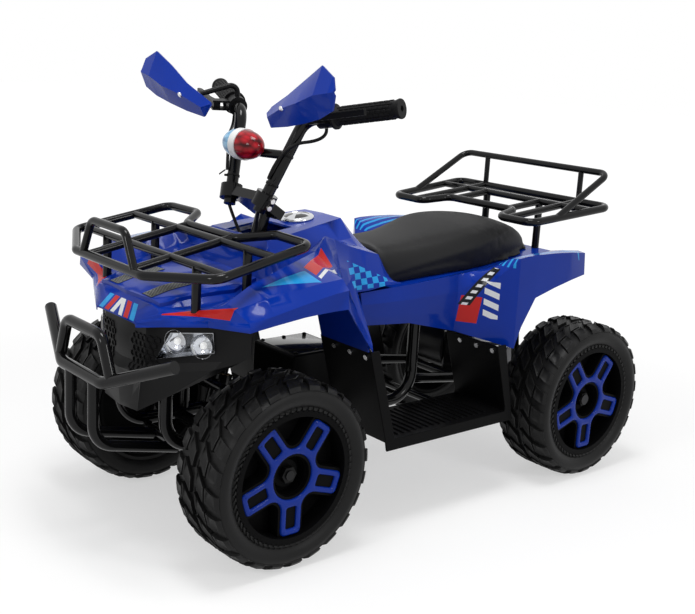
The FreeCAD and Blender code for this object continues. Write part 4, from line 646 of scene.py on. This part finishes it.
def rear_stickers(finish):
    """A red block, a black bar with dashes and white steps on each side panel, and streaks on the fender."""
    x, y, z = finish.axes()
    side = abs(x)
    panel = y < 0.2
    block_lean = side - (z - 0.345) * 0.12
    block = panel * z.between(0.343, 0.397) * block_lean.between(0.1525, 0.187)
    bar_lean = side - (z - 0.386) * 0.52
    bar = panel * z.between(0.378, 0.456) * bar_lean.between(0.158, 0.178)
    dashes = bar * bar_lean.between(0.163, 0.173) * z.every(0.013, 0.006)
    steps = panel * z.between(0.356, 0.43) * side.between(0.196, 0.221) * (z + side * 0.4).every(0.022, 0.012)
    pad = (z > 0.462) * y.between(0.2, 0.41) * side.between(0.185, 0.243)
    streaks = pad * (side - y * 0.15).every(0.013, 0.005)
    return [(block, sticker_red), (bar, sticker_black), (dashes, sticker_white), (steps, sticker_white),
            (streaks, sticker_cyan)]


front_blue = blue_finish("front_blue", 0.12, front_stickers)
moulded("front_body_moulding", "front_body", 0.0024, 12, 3, front_blue, "chassis")
rear_blue = blue_finish("rear_blue", 0.12, rear_stickers)
moulded("rear_body_moulding", "rear_body", 0.0024, 12, 3, rear_blue, "chassis")


# Fender backs: thin walls of the same blue plastic that close each front fender toward the rider's leg.
# Each stands on the top edge of its leg shield and meets the fender's underside.
def surface_of(*names):
    """The frame nodes' surfaces, to lay pieces on."""
    mesh = bmesh.new()
    for name in names:
        mesh.from_mesh(node[name].data)
    tree = BVHTree.FromBMesh(mesh)
    mesh.free()
    return tree


leg_inner, leg_outer, leg_top, leg_wall = 0.113, 0.245, 0.45, 0.003
shield_top, shield_up = Vector((0, -0.1615, 0.3455)), Vector((0, -0.276, 0.961))
front_skin = surface_of("front_body")
leg_blue = blue_finish("leg_blue", 0.12)
for hand, side in HANDS:
    wall = bmesh.new()
    bmesh.ops.create_grid(wall, x_segments=18, y_segments=1, size=0.5)
    for vert in wall.verts:
        foot = shield_top.copy()
        foot.x = side * (leg_inner + (vert.co.x + 0.5) * (leg_outer - leg_inner))
        roof = front_skin.ray_cast(foot, shield_up)[0]
        rise = (min(roof.z, leg_top) if roof else leg_top) - foot.z
        vert.co = foot + shield_up * (rise / shield_up.z if vert.co.y > 0 else 0)
    bmesh.ops.recalc_face_normals(wall, faces=wall.faces)
    bmesh.ops.solidify(wall, geom=list(wall.faces), thickness=leg_wall)
    sharp_above(piece("fender_back_" + hand, wall, leg_blue, "chassis"), 30)


# Nose panel: a bowed black moulding under the hood's lip, with a raised honeycomb each side of its middle.
# It hangs on two tabs of the frame behind it.
nose_black = grained("nose_black", (0.0045, 0.0045, 0.0048, 1), 0.36, 1100, 0.0002)
moulded("nose_panel", "front_fascia", 0.003, 14, 3, nose_black, "chassis")


def lay_on(mesh, tree, along, lift):
    """Drops a flat mesh on a surface along a direction, keeping each corner's own height above it."""
    for vert in list(mesh.verts):
        height = -(vert.co.dot(along))
        flat = vert.co + along * height
        place = tree.ray_cast(flat - along, along)[0]
        if place is None:
            mesh.verts.remove(vert)
        else:
            vert.co = place - along * (height + lift)


comb_step, comb_wall, comb_radius, comb_depth, comb_sunk = 0.0125, 0.0014, 0.0068, 0.0026, 0.0008
comb_rows, comb_columns, comb_across, comb_level, row_share = 6, 6, 0.034, 0.318, 0.866
cell = bmesh.new()
bmesh.ops.create_circle(cell, segments=6, radius=comb_radius, cap_ends=True)
bmesh.ops.inset_individual(cell, faces=list(cell.faces), thickness=comb_wall)
hole = min(cell.faces, key=lambda f: max(v.co.length for v in f.verts))
bmesh.ops.delete(cell, geom=[hole], context="FACES")
thicken(cell, (0, 0, comb_depth))
turn_mesh(cell, math.pi / 2, "X")
cell_data = as_data(cell, "comb_cell")
nose_tree, inward = surface_of("front_fascia"), Vector((0, 1, 0))
comb = bmesh.new()
for row in range(comb_rows):
    for column in range(comb_columns):
        across = comb_across + (column + 0.5 * (row % 2)) * comb_step
        up = comb_level + row * comb_step * row_share
        for place in [Matrix.Translation((side * across, 0, up)) for side in (1, -1)]:
            corners = [place @ vert.co for vert in cell_data.vertices]
            if all(nose_tree.ray_cast(corner - inward, inward)[0] is not None for corner in corners):
                stamp(comb, cell_data, [place])
lay_on(comb, nose_tree, inward, -comb_sunk)
sharp_above(piece("nose_honeycomb", comb, nose_black, "chassis"), 40)


# Headlights: each is a grey reflector tray with two bright bowls and their bulbs, with a faint painted glow,
# behind a flat clear cover.
# The tray is moulded and plated, the cover is glued on, and the lamp sits in a window of the nose panel.
lamp_facing, bowl_shifts = Vector((0.445, -0.896, 0)), (-0.026, 0.024)
bowl_radius, bowl_wall, bowl_share, bulb_radius = 0.0205, 0.0004, 0.6, 0.0062
lamp_sunk, bowl_out, bulb_out = 0.0125, 0.0105, 0.003
tray_wall, cover_thickness, cover_edge = 0.0012, 0.0018, 0.0005
chrome = steel_finish("bright_chrome", (0.55, 0.56, 0.58, 1), 0.14)
lamp_grey = steel_finish("lamp_grey", (0.34, 0.35, 0.37, 1), 0.2)
clear_cover = Finish("clear_cover", {"Base Color": (0.97, 0.98, 1, 1), "Transmission Weight": 1.0, "IOR": 1.3})
clear_cover.feed("Roughness", clear_cover.noise(25) * 0.05 + 0.02)
# Painted glow: the bulbs' glass gives off a faint light of its own; no lamp shines from the headlights.
bulb_glass_painted_glow = Finish("bulb_glass_painted_glow", {"Base Color": (0.95, 0.95, 0.92, 1), "Emission Strength": 0.35,
                                   "Emission Color": (1, 0.98, 0.94, 1)})
bulb_glass_painted_glow.feed("Roughness", bulb_glass_painted_glow.noise(80) * 0.1 + 0.08)


def mirrored(place, side):
    """A place or direction of the rider's left side, or its mirror image on the right."""
    return Vector((side * place.x, place.y, place.z))


def trim_outside(mesh, place, outward):
    """Cuts away what lies beyond a plane, and gives the edges of the cut."""
    whole = list(mesh.verts) + list(mesh.edges) + list(mesh.faces)
    cut = bmesh.ops.bisect_plane(mesh, geom=whole, plane_co=place, plane_no=outward, clear_outer=True)
    return [g for g in cut["geom_cut"] if isinstance(g, bmesh.types.BMEdge)]


bulb = bmesh.new()
bmesh.ops.create_uvsphere(bulb, u_segments=16, v_segments=10, radius=bulb_radius)
bulb_data = as_data(bulb, "lamp_bulb")
for hand, side in HANDS:
    lamp_mesh = node_mesh("headlight_" + hand)
    outward = mirrored(lamp_facing, side)
    cover_face = max(lamp_mesh.faces, key=lambda f: f.normal.dot(outward) * f.calc_area())
    corners = [v.co.copy() for v in cover_face.verts]
    middle = sum(corners, Vector()) / len(corners)
    bmesh.ops.delete(lamp_mesh, geom=[cover_face], context="FACES_ONLY")
    tray = piece("lamp_tray_" + hand, lamp_mesh, lamp_grey, "chassis", False)
    thick = tray.modifiers.new("tray_wall", "SOLIDIFY")
    thick.thickness = tray_wall
    thick.offset = 0
    along = max(corners, key=lambda c: abs(c.x)) - min(corners, key=lambda c: abs(c.x))
    along.z = 0
    along.normalize()
    bowl = bmesh.new()
    bmesh.ops.create_uvsphere(bowl, u_segments=28, v_segments=14, radius=bowl_radius)
    trim_outside(bowl, (0, 0, 0), outward)
    bmesh.ops.solidify(bowl, geom=list(bowl.faces), thickness=bowl_wall)
    bowl_data = as_data(bowl, "lamp_bowl")
    flatten = Matrix.Scale(bowl_share, 4, outward)
    spots = [middle + along * shift - outward * lamp_sunk for shift in bowl_shifts]
    bowls, bulbs = bmesh.new(), bmesh.new()
    stamp(bowls, bowl_data, [Matrix.Translation(spot + outward * bowl_out) @ flatten for spot in spots])
    stamp(bulbs, bulb_data, [Matrix.Translation(spot + outward * bulb_out) for spot in spots])
    piece("lamp_bowls_" + hand, bowls, chrome, "chassis")
    piece("lamp_bulbs_" + hand, bulbs, bulb_glass_painted_glow, "chassis")
    cover = bmesh.new()
    cover.faces.new([cover.verts.new(corner) for corner in corners])
    thicken(cover, outward * -cover_thickness)
    round_edges(cover, cover_edge, 40)
    lens_cover = piece("lamp_cover_" + hand, cover, clear_cover, "chassis", False)
    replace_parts(lens_cover, "headlight_" + hand)


# Hood plateau: the raised middle of the hood, moulded with it in blue plastic, with a crisp shoulder round it.
# It runs from the nose's slope back to the foot of the tank, and holds both vents.
plateau_rise, plateau_sunk, plateau_edge = 0.0065, 0.002, 0.0022
plateau_cells, plateau_half, plateau_middle = 40, 0.14, Matrix.Translation((0, -0.405, 0))
plateau_sides = [((0, -0.5035), (0.06, -1)), ((0.099, -0.4985), (0.97, -0.24)), ((0.13, -0.372), (0.95, 0.32)),
                 ((0, -0.314), (0, 1))]
down = Vector((0, 0, -1))
plateau = bmesh.new()
bmesh.ops.create_grid(plateau, x_segments=plateau_cells, y_segments=plateau_cells, size=plateau_half,
                      matrix=plateau_middle)
for (x, y), (out_x, out_y) in plateau_sides:
    for side in (1, -1):
        trim_outside(plateau, (side * x, y, 0), (side * out_x, out_y, 0))
thicken(plateau, (0, 0, plateau_rise + plateau_sunk))
round_edges(plateau, plateau_edge, 40, 2)
lay_on(plateau, front_skin, down, -plateau_sunk)
sharp_above(piece("hood_plateau", plateau, blue_finish("hood_blue", 0.12), "chassis"), 30)


# Hood vents: two long plates of dark plastic mesh that lie on the hood's raised middle, one on each side.
# Each is a flat lattice of slanted grey bars over a dark plate, pressed in from above.
vent_plate = grained("vent_plate", (0.005, 0.005, 0.0053, 1), 0.5, 900, 0.0003)
vent_grey = grained("vent_grey", (0.17, 0.175, 0.17, 1), 0.42, 900, 0.0002)
vent_low, vent_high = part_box("hood_vents")
vent_centre, vent_half, vent_bar, vent_edge, plate_thickness = 0.056, 0.0135, 0.0012, 0.0015, 0.0016
lattice_cells, lattice_half = 28, 0.07
vent_middle, vent_reach = (vent_low.y + vent_high.y) / 2, (vent_high.y - vent_low.y) / 2 - vent_edge
vent_places = [Matrix.Translation((side * vent_centre, vent_middle, 0)) for side in (1, -1)]
plates, vents = bmesh.new(), bmesh.new()
plate = bmesh.new()
bmesh.ops.create_grid(plate, x_segments=2, y_segments=14, size=1)
bmesh.ops.scale(plate, vec=(vent_half + vent_edge, vent_reach + vent_edge, 1), verts=plate.verts)
thicken(plate, (0, 0, plate_thickness))
stamp(plates, as_data(plate, "vent_plate"), vent_places)
lattice = bmesh.new()
bmesh.ops.create_grid(lattice, x_segments=lattice_cells, y_segments=lattice_cells, size=lattice_half)
turn_mesh(lattice, math.pi / 4, "Z")
for normal, reach in (((1, 0, 0), vent_half), ((-1, 0, 0), vent_half), ((0, 1, 0), vent_reach),
                      ((0, -1, 0), vent_reach)):
    trim_outside(lattice, Vector(normal) * reach, normal)
bmesh.ops.wireframe(lattice, faces=list(lattice.faces), thickness=vent_bar, use_boundary=True,
                    use_even_offset=True, use_replace=True)
stamp(vents, as_data(lattice, "vent_lattice"), vent_places)
lay_on(plates, front_skin, down, plateau_rise - plate_thickness / 2)
lay_on(vents, front_skin, down, plateau_rise + plate_thickness / 2)
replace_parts(piece("vent_plates", plates, vent_plate, "chassis", False), "hood_vents")
piece("vent_lattices", vents, vent_grey, "chassis", False)


# Tank cap: a round filler cap on the tank's top, with a rolled rim and dark inlays between three spokes.
# It is turned, plated bright and screwed into the tank's neck.
cap_place, cap_up = Vector((0, -0.14654, 0.5418)), Vector((0, -0.13131, 0.99134))
inlay_inner, inlay_outer, inlay_sweep = 0.008, 0.0245, 1.35
cap_line = [(0, 0), (0.0325, 0), (0.033, 0.0015), (0.0322, 0.004), (0.0295, 0.0062), (0.0262, 0.0068),
            (0.025, 0.0058), (0.0242, 0.006), (0.018, 0.0085), (0.008, 0.0098), (0, 0.01)]


def facing(along):
    """The turn that takes +Z to a direction."""
    return Vector((0, 0, 1)).rotation_difference(along).to_matrix().to_4x4()


def turned(line, place, along, steps=56):
    """A turned shape: (radius, height) pairs spun about an axis, joined up where they make a ring."""
    mesh = bmesh.new()
    verts = [mesh.verts.new((radius, 0, height)) for radius, height in line]
    joined = [] if line[-1][0] == 0 else [(verts[-1], verts[0])]
    edges = [mesh.edges.new(pair) for pair in list(zip(verts, verts[1:])) + joined]
    bmesh.ops.spin(mesh, geom=verts + edges, axis=(0, 0, 1), cent=(0, 0, 0), angle=2 * math.pi, steps=steps,
                   use_merge=True)
    bmesh.ops.remove_doubles(mesh, verts=mesh.verts, dist=0.00001)
    bmesh.ops.dissolve_degenerate(mesh, edges=mesh.edges, dist=0.000005)
    bmesh.ops.recalc_face_normals(mesh, faces=mesh.faces)
    bmesh.ops.transform(mesh, matrix=Matrix.Translation(place) @ facing(along), verts=mesh.verts)
    return mesh


cap_chrome = Finish("cap_chrome", {"IOR": 1.5})
cap_x, cap_y, _ = cap_chrome.axes()
cap_back = cap_y - cap_place.y
cap_out = cap_x.maths("SQRT", cap_x * cap_x + cap_back * cap_back)
cap_turn = cap_x.maths("ARCTAN2", cap_x, cap_back) + math.pi
inlay = cap_out.between(inlay_inner, inlay_outer) * cap_turn.every(2 * math.pi / 3, inlay_sweep)
smear = cap_chrome.noise(90, 4)
cap_chrome.feed("Base Color", cap_chrome.mix(inlay, (0.66, 0.67, 0.69, 1), (0.012, 0.012, 0.013, 1)))
cap_chrome.feed("Metallic", 1 - inlay)
cap_chrome.feed("Roughness", smear * 0.12 + 0.08)
cap = piece("tank_cap_turned", turned(cap_line, cap_place, cap_up), cap_chrome, "chassis")
sharp_above(cap, 50)
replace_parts(cap, "tank_cap")


# Rear rack's uprights: two short stubs that hold the raised rail above the platform's back tube.
# They are cut from the rack's own black tube, at the ends of the long bars, and welded at both ends.
rack_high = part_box("rear_rack")[1]
rack_bar_radius, rack_ring_radius = 0.007, 0.008
upright_radius, upright_across, upright_height = 0.006, 0.1364, 0.069
uprights = bmesh.new()
for side in (1, -1):
    upright_place = Matrix.Translation((side * upright_across, rack_high.y - rack_ring_radius,
                                        rack_high.z - rack_bar_radius - upright_height / 2))
    bmesh.ops.create_cone(uprights, cap_ends=True, segments=20, radius1=upright_radius, radius2=upright_radius,
                          depth=upright_height, matrix=upright_place)
sharp_above(piece("rack_uprights", uprights, black_tube, "chassis"), 40)


# Seat: a foam saddle in black vinyl, stretched over its base and stapled below, held down on the seat deck.
# A soft ridge runs along each side, from the front foot up to the tail.
vinyl = Finish("seat_vinyl", {"IOR": 1.25, "Sheen Weight": 0.03, "Sheen Roughness": 0.5})
vinyl_cloud = vinyl.noise(6)
grain = vinyl.add("ShaderNodeTexVoronoi", {"feature": "DISTANCE_TO_EDGE"},
                  {"Vector": vinyl.place(), "Scale": 620.0, "Randomness": 0.9})
vinyl.feed("Base Color", vinyl.mix(vinyl_cloud, (0.0085, 0.0085, 0.009, 1), (0.014, 0.014, 0.0145, 1)))
vinyl.feed("Roughness", vinyl_cloud * 0.12 + 0.5)
vinyl.bump(grain.ramp(0.0, 0.12) + vinyl.noise(260, 3) * 0.5, 0.22, 0.0005)
deck_start, deck_level, deck_slope = -0.1035, 0.408, 0.0832
ridge_level, ridge_slope, ridge_width, ridge_height = 0.434, 0.21, 0.007, 0.0022
swell_cap, seat_voxel, base_height, held_height = 0.005, 0.005, 0.004, 0.009
seat_width, seat_settle, seat_pressure, seat_frames = 0.972, 0.045, 4, 20
tail_start, tail_run, tail_taper, tail_dip = 0.22, 0.225, 0.22, 0.16


def above_deck(place):
    """The height above the sloped seat deck."""
    return place.z - deck_level - deck_slope * (place.y - deck_start)


def as_object(name, mesh):
    """Puts a bmesh in the scene as it is, to be worked on by modifiers."""
    made = bpy.data.objects.new(name, as_data(mesh, name))
    scene.collection.objects.link(made)
    return made


def settled(made):
    """The object's mesh with its modifiers applied."""
    graph = bpy.context.evaluated_depsgraph_get()
    return bpy.data.meshes.new_from_object(made.evaluated_get(graph), depsgraph=graph)


seat_mesh = node_mesh("seat_cushion")
for vert in seat_mesh.verts:
    lift = above_deck(vert.co)
    tail = max(0.0, (vert.co.y - tail_start) / tail_run)
    if lift > base_height:
        vert.co.x *= seat_width - tail_taper * tail
        vert.co.z -= (seat_settle + tail_dip * tail) * lift
seat_start = as_object("seat_start", seat_mesh)
voxels = seat_start.modifiers.new("voxels", "REMESH")
voxels.mode = "VOXEL"
voxels.voxel_size = seat_voxel
seat_skin = as_object("seat_skin", bmesh.new())
seat_skin.data = settled(seat_start)
before = [vert.co.copy() for vert in seat_skin.data.vertices]
held = seat_skin.vertex_groups.new(name="held")
held.add([i for i, place in enumerate(before) if above_deck(place) < held_height], 1.0, "REPLACE")
padding = seat_skin.modifiers.new("padding", "CLOTH")
padding.settings.vertex_group_mass = "held"
padding.settings.use_pressure = True
padding.settings.uniform_pressure_force = seat_pressure
padding.settings.effector_weights.gravity = 0
padding.point_cache.frame_end = seat_frames
for step in range(1, seat_frames + 1):
    scene.frame_set(step)
seat_skin.data = settled(seat_skin)
scene.frame_set(1)
seat_form = bmesh.new()
seat_form.from_mesh(seat_skin.data)
seat_form.verts.ensure_lookup_table()
for vert, place in zip(seat_form.verts, before):
    move = vert.co - place
    if move.length > swell_cap:
        vert.co = place + move.normalized() * swell_cap
bmesh.ops.smooth_vert(seat_form, verts=seat_form.verts, factor=0.5, use_axis_x=True, use_axis_y=True,
                      use_axis_z=True)
seat_form.normal_update()
for vert in seat_form.verts:
    off = (vert.co.z - ridge_level - ridge_slope * vert.co.y) / ridge_width
    if abs(vert.normal.x) > 0.3:
        vert.co += vert.normal * (ridge_height * math.exp(-off * off))
for spare in (seat_start, seat_skin):
    bpy.data.objects.remove(spare)
seat = piece("seat_cover", seat_form, vinyl, "chassis")
soften = seat.modifiers.new("soften", "SUBSURF")
soften.levels = 1
soften.render_levels = 1
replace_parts(seat, "seat_cushion")


# Steering head and levers: the bars stand in two clamps on the column's head, held by six bright bolts.
# A moulded perch on each bar carries its brake lever. Perches and levers are black plastic.
bright_steel = steel_finish("bright_screws", (0.62, 0.62, 0.63, 1), 0.24)
dress(bright_steel, "clamp_bolts", "body_screws")
lever_black = grained("lever_black", (0.0045, 0.0045, 0.0048, 1), 0.36, 800, 0.0002)
for hand, _ in HANDS:
    moulded("perch_" + hand, "lever_perch_" + hand, 0.0012, 35, 2, lever_black, "steering")
    moulded("lever_" + hand, "brake_lever_" + hand, 0.0022, 35, 3, lever_black, "brake_lever_" + hand)


# Hand guards: folded shields of glossy blue plastic that stand ahead of the grips.
# Each turns with the bars and is held by one bright domed screw.
guard_screw, guard_screws = screw_head(0.0052, 0.5, 16, 10), bmesh.new()
guard_screw_ahead = Vector((0.157, -0.6, 0.757))
for hand, side in HANDS:
    moulded("guard_" + hand, "hand_guard_" + hand, 0.0018, 12, 3, blue_finish("guard_blue_" + hand, 0.12),
            "steering")
    spot, outward, _, _ = surface_of("hand_guard_" + hand).ray_cast(mirrored(guard_screw_ahead, side), inward)
    stamp(guard_screws, guard_screw, [Matrix.Translation(spot) @ facing(outward)])
piece("guard_screws", guard_screws, bright_steel, "steering")


# Grips: soft black rubber sleeves with rows of staggered pads and a collar, pushed on the ends of the bars.
# The left one is fixed. The right one turns on its bar as the throttle.
grip_rubber = grained("grip_rubber", (0.0055, 0.0055, 0.0058, 1), 0.55, 500, 0.0004)
grip_end, grip_out = Vector((0.266, -0.14912, 0.7669)), Vector((0.9199, 0.34632, 0.18398))
grip_length, grip_past, sleeve_radius = 0.129, 0.005, 0.0153
grip_line = [(0, 0), (0.022, 0), (0.022, 0.004), (0.0205, 0.005), (0.0172, 0.0062), (0.0164, 0.009),
             (sleeve_radius, 0.0105), (sleeve_radius, grip_length - 0.0075), (0.0164, grip_length - 0.006),
             (0.0172, grip_length - 0.0025), (0.0165, grip_length), (0.0052, grip_length),
             (0.0046, grip_length - 0.005), (0, grip_length - 0.005)]
pad_rows, pad_columns, pad_start, pad_step = 10, 16, 0.0145, 0.0102
pad = rounded_box((0.0041, 0.0026, 0.0086), 0.0006, 1)
bmesh.ops.translate(pad, vec=(0, sleeve_radius, 0), verts=pad.verts)
pad_data = as_data(pad, "grip_pad")
for name, part, body, side in (("grip_left_ribbed", "grip_left", "steering", 1),
                               ("grip_right_ribbed", "throttle_grip", "throttle", -1)):
    along = mirrored(grip_out, side)
    heel = mirrored(grip_end, side) + along * (grip_past - grip_length)
    grip_mesh = bmesh.new()
    grip_mesh.from_mesh(as_data(turned(grip_line, heel, along), "grip_sleeve"))
    for column in range(pad_columns):
        column_turn = Matrix.Rotation(2 * math.pi * column / pad_columns, 4, "Z")
        about = Matrix.Translation(heel) @ facing(along) @ column_turn
        rows = [pad_start + (row + column % 2 / 2) * pad_step for row in range(pad_rows)]
        stamp(grip_mesh, pad_data, [about @ Matrix.Translation((0, 0, row)) for row in rows])
    grip = piece(name, grip_mesh, grip_rubber, body)
    sharp_above(grip, 40)
    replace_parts(grip, part)


# Siren: a toy lamp between the bars, with a red lens and a pale blue one on a white moulded band.
# The lenses are tinted clear plastic over faceted mirrors, whose glints are painted into the lenses' colour,
# and the band is clamped on the bars.
def siren_lens(colour_name, dark, bright):
    """A rounded lens of tinted plastic with the glints of a faceted mirror painted in, fitted in the space of
    its frame node.
    """
    finish = Finish("lens_" + colour_name, {"IOR": 1.22, "Coat Weight": 0.2, "Coat Roughness": 0.02})
    drawn_out = finish.add("ShaderNodeMapping", None, {"Vector": finish.place(), "Scale": (0.35, 1, 1)})
    # Painted reflection: stretched cells of bright and dark tint stand in for the mirror's glints; the tint
    # itself is the lens's own colour.
    painted_facet_glints = finish.add("ShaderNodeTexVoronoi", None, {"Vector": drawn_out, "Scale": 95.0})
    finish.feed("Base Color", finish.mix(painted_facet_glints.ramp(0.25, 0.8), bright, dark))
    finish.feed("Roughness", painted_facet_glints * 0.1 + 0.08)
    low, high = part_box("siren_lens_" + colour_name)
    side = 1 if low.x > 0 else -1
    lens_mesh = bmesh.new()
    bmesh.ops.create_uvsphere(lens_mesh, u_segments=40, v_segments=24, radius=1)
    turn_mesh(lens_mesh, math.pi / 2, "Y")
    bmesh.ops.edgeloop_fill(lens_mesh, edges=trim_outside(lens_mesh, (0, 0, 0), (-side, 0, 0)))
    size, middle = high - low, (low + high) / 2
    bmesh.ops.scale(lens_mesh, vec=(size.x, size.y / 2, size.z / 2), verts=lens_mesh.verts)
    foot_x = low.x if side > 0 else high.x
    bmesh.ops.translate(lens_mesh, vec=(foot_x, middle.y, middle.z), verts=lens_mesh.verts)
    made = piece("siren_dome_" + colour_name, lens_mesh, finish, "steering")
    sharp_above(made, 40)
    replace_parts(made, "siren_lens_" + colour_name)


siren_lens("red", (0.05, 0.0006, 0.002, 1), (0.48, 0.01, 0.02, 1))
siren_lens("blue", (0.04, 0.16, 0.34, 1), (0.3, 0.58, 0.82, 1))
dress(grained("siren_white", (0.7, 0.7, 0.7, 1), 0.35, 600, 0.0002), "siren_band")


# Cable ties: black nylon straps pulled tight by hand, two round each upright of the bars.
# Each has a square head at the front, and its tail is left on.
tie_black = grained("tie_black", (0.006, 0.006, 0.006, 1), 0.45, 900, 0.0002)
bar_foot, bar_knee, bar_radius = Vector((0.046, -0.26812, 0.5689)), Vector((0.096, -0.21312, 0.7329)), 0.011
strap_radius = bar_radius + 0.0012
tie_line = [(bar_radius, -0.002), (strap_radius, -0.0018), (strap_radius, 0.0018), (bar_radius, 0.002)]
tie_shares, head_shift = (0.3, 0.62), Vector((0.006, -0.0125, 0.001))
tail_size, tail_droop, tail_shift = (0.022, 0.001, 0.0026), math.radians(-28), Vector((0.012, 0, 0.004))
head_data = as_data(rounded_box((0.005, 0.0045, 0.004), 0.0006, 1), "tie_head")
ties = bmesh.new()
for side in (1, -1):
    foot, knee = mirrored(bar_foot, side), mirrored(bar_knee, side)
    tail = bmesh.new()
    bmesh.ops.create_cube(tail, size=1)
    bmesh.ops.scale(tail, vec=tail_size, verts=tail.verts)
    turn_mesh(tail, tail_droop, "Y")
    bmesh.ops.translate(tail, vec=mirrored(tail_shift, side), verts=tail.verts)
    tail_data = as_data(tail, "tie_tail")
    for share in tie_shares:
        spot = foot + (knee - foot) * share
        band_data = as_data(turned(tie_line, spot, (knee - foot).normalized(), 32), "tie_band")
        stamp(ties, band_data, [Matrix.Identity(4)])
        for data in (head_data, tail_data):
            stamp(ties, data, [Matrix.Translation(spot + mirrored(head_shift, side))])
sharp_above(piece("cable_ties", ties, tie_black, "steering"), 40)


# Brake cables: black sleeved wires that leave the lever perches, tied to the bars' uprights.
# Each shows again at its upright's foot, and goes down into the tank's recess.
cable_black = grained("cable_black", (0.006, 0.006, 0.006, 1), 0.4, 900, 0.0002)
cable_width = 0.006
upper_route = [(0.1402, -0.19968, 0.72306), (0.14364, -0.19839, 0.7034), (0.08299, -0.25085, 0.69022),
               (0.06427, -0.26303, 0.62884)]
lower_route = [(0.0455, -0.2687, 0.5672), (0.0325, -0.264, 0.537), (0.02, -0.25443, 0.507)]
for hand, side in HANDS:
    for name, route in (("upper_cable_", upper_route), ("lower_cable_", lower_route)):
        line = bpy.data.curves.new(name + hand, "CURVE")
        line.dimensions = "3D"
        line.bevel_depth = cable_width / 2
        line.use_fill_caps = True
        spline = line.splines.new("NURBS")
        spline.points.add(len(route) - 1)
        for point, (px, py, pz) in zip(spline.points, route):
            point.co = (side * px, py, pz, 1)
        spline.order_u = 3
        spline.use_endpoint_u = True
        line.materials.append(cable_black.material)
        cable = bpy.data.objects.new(name + hand, line)
        scene.collection.objects.link(cable)
        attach(cable, "steering")
        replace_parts(cable, "brake_cables")
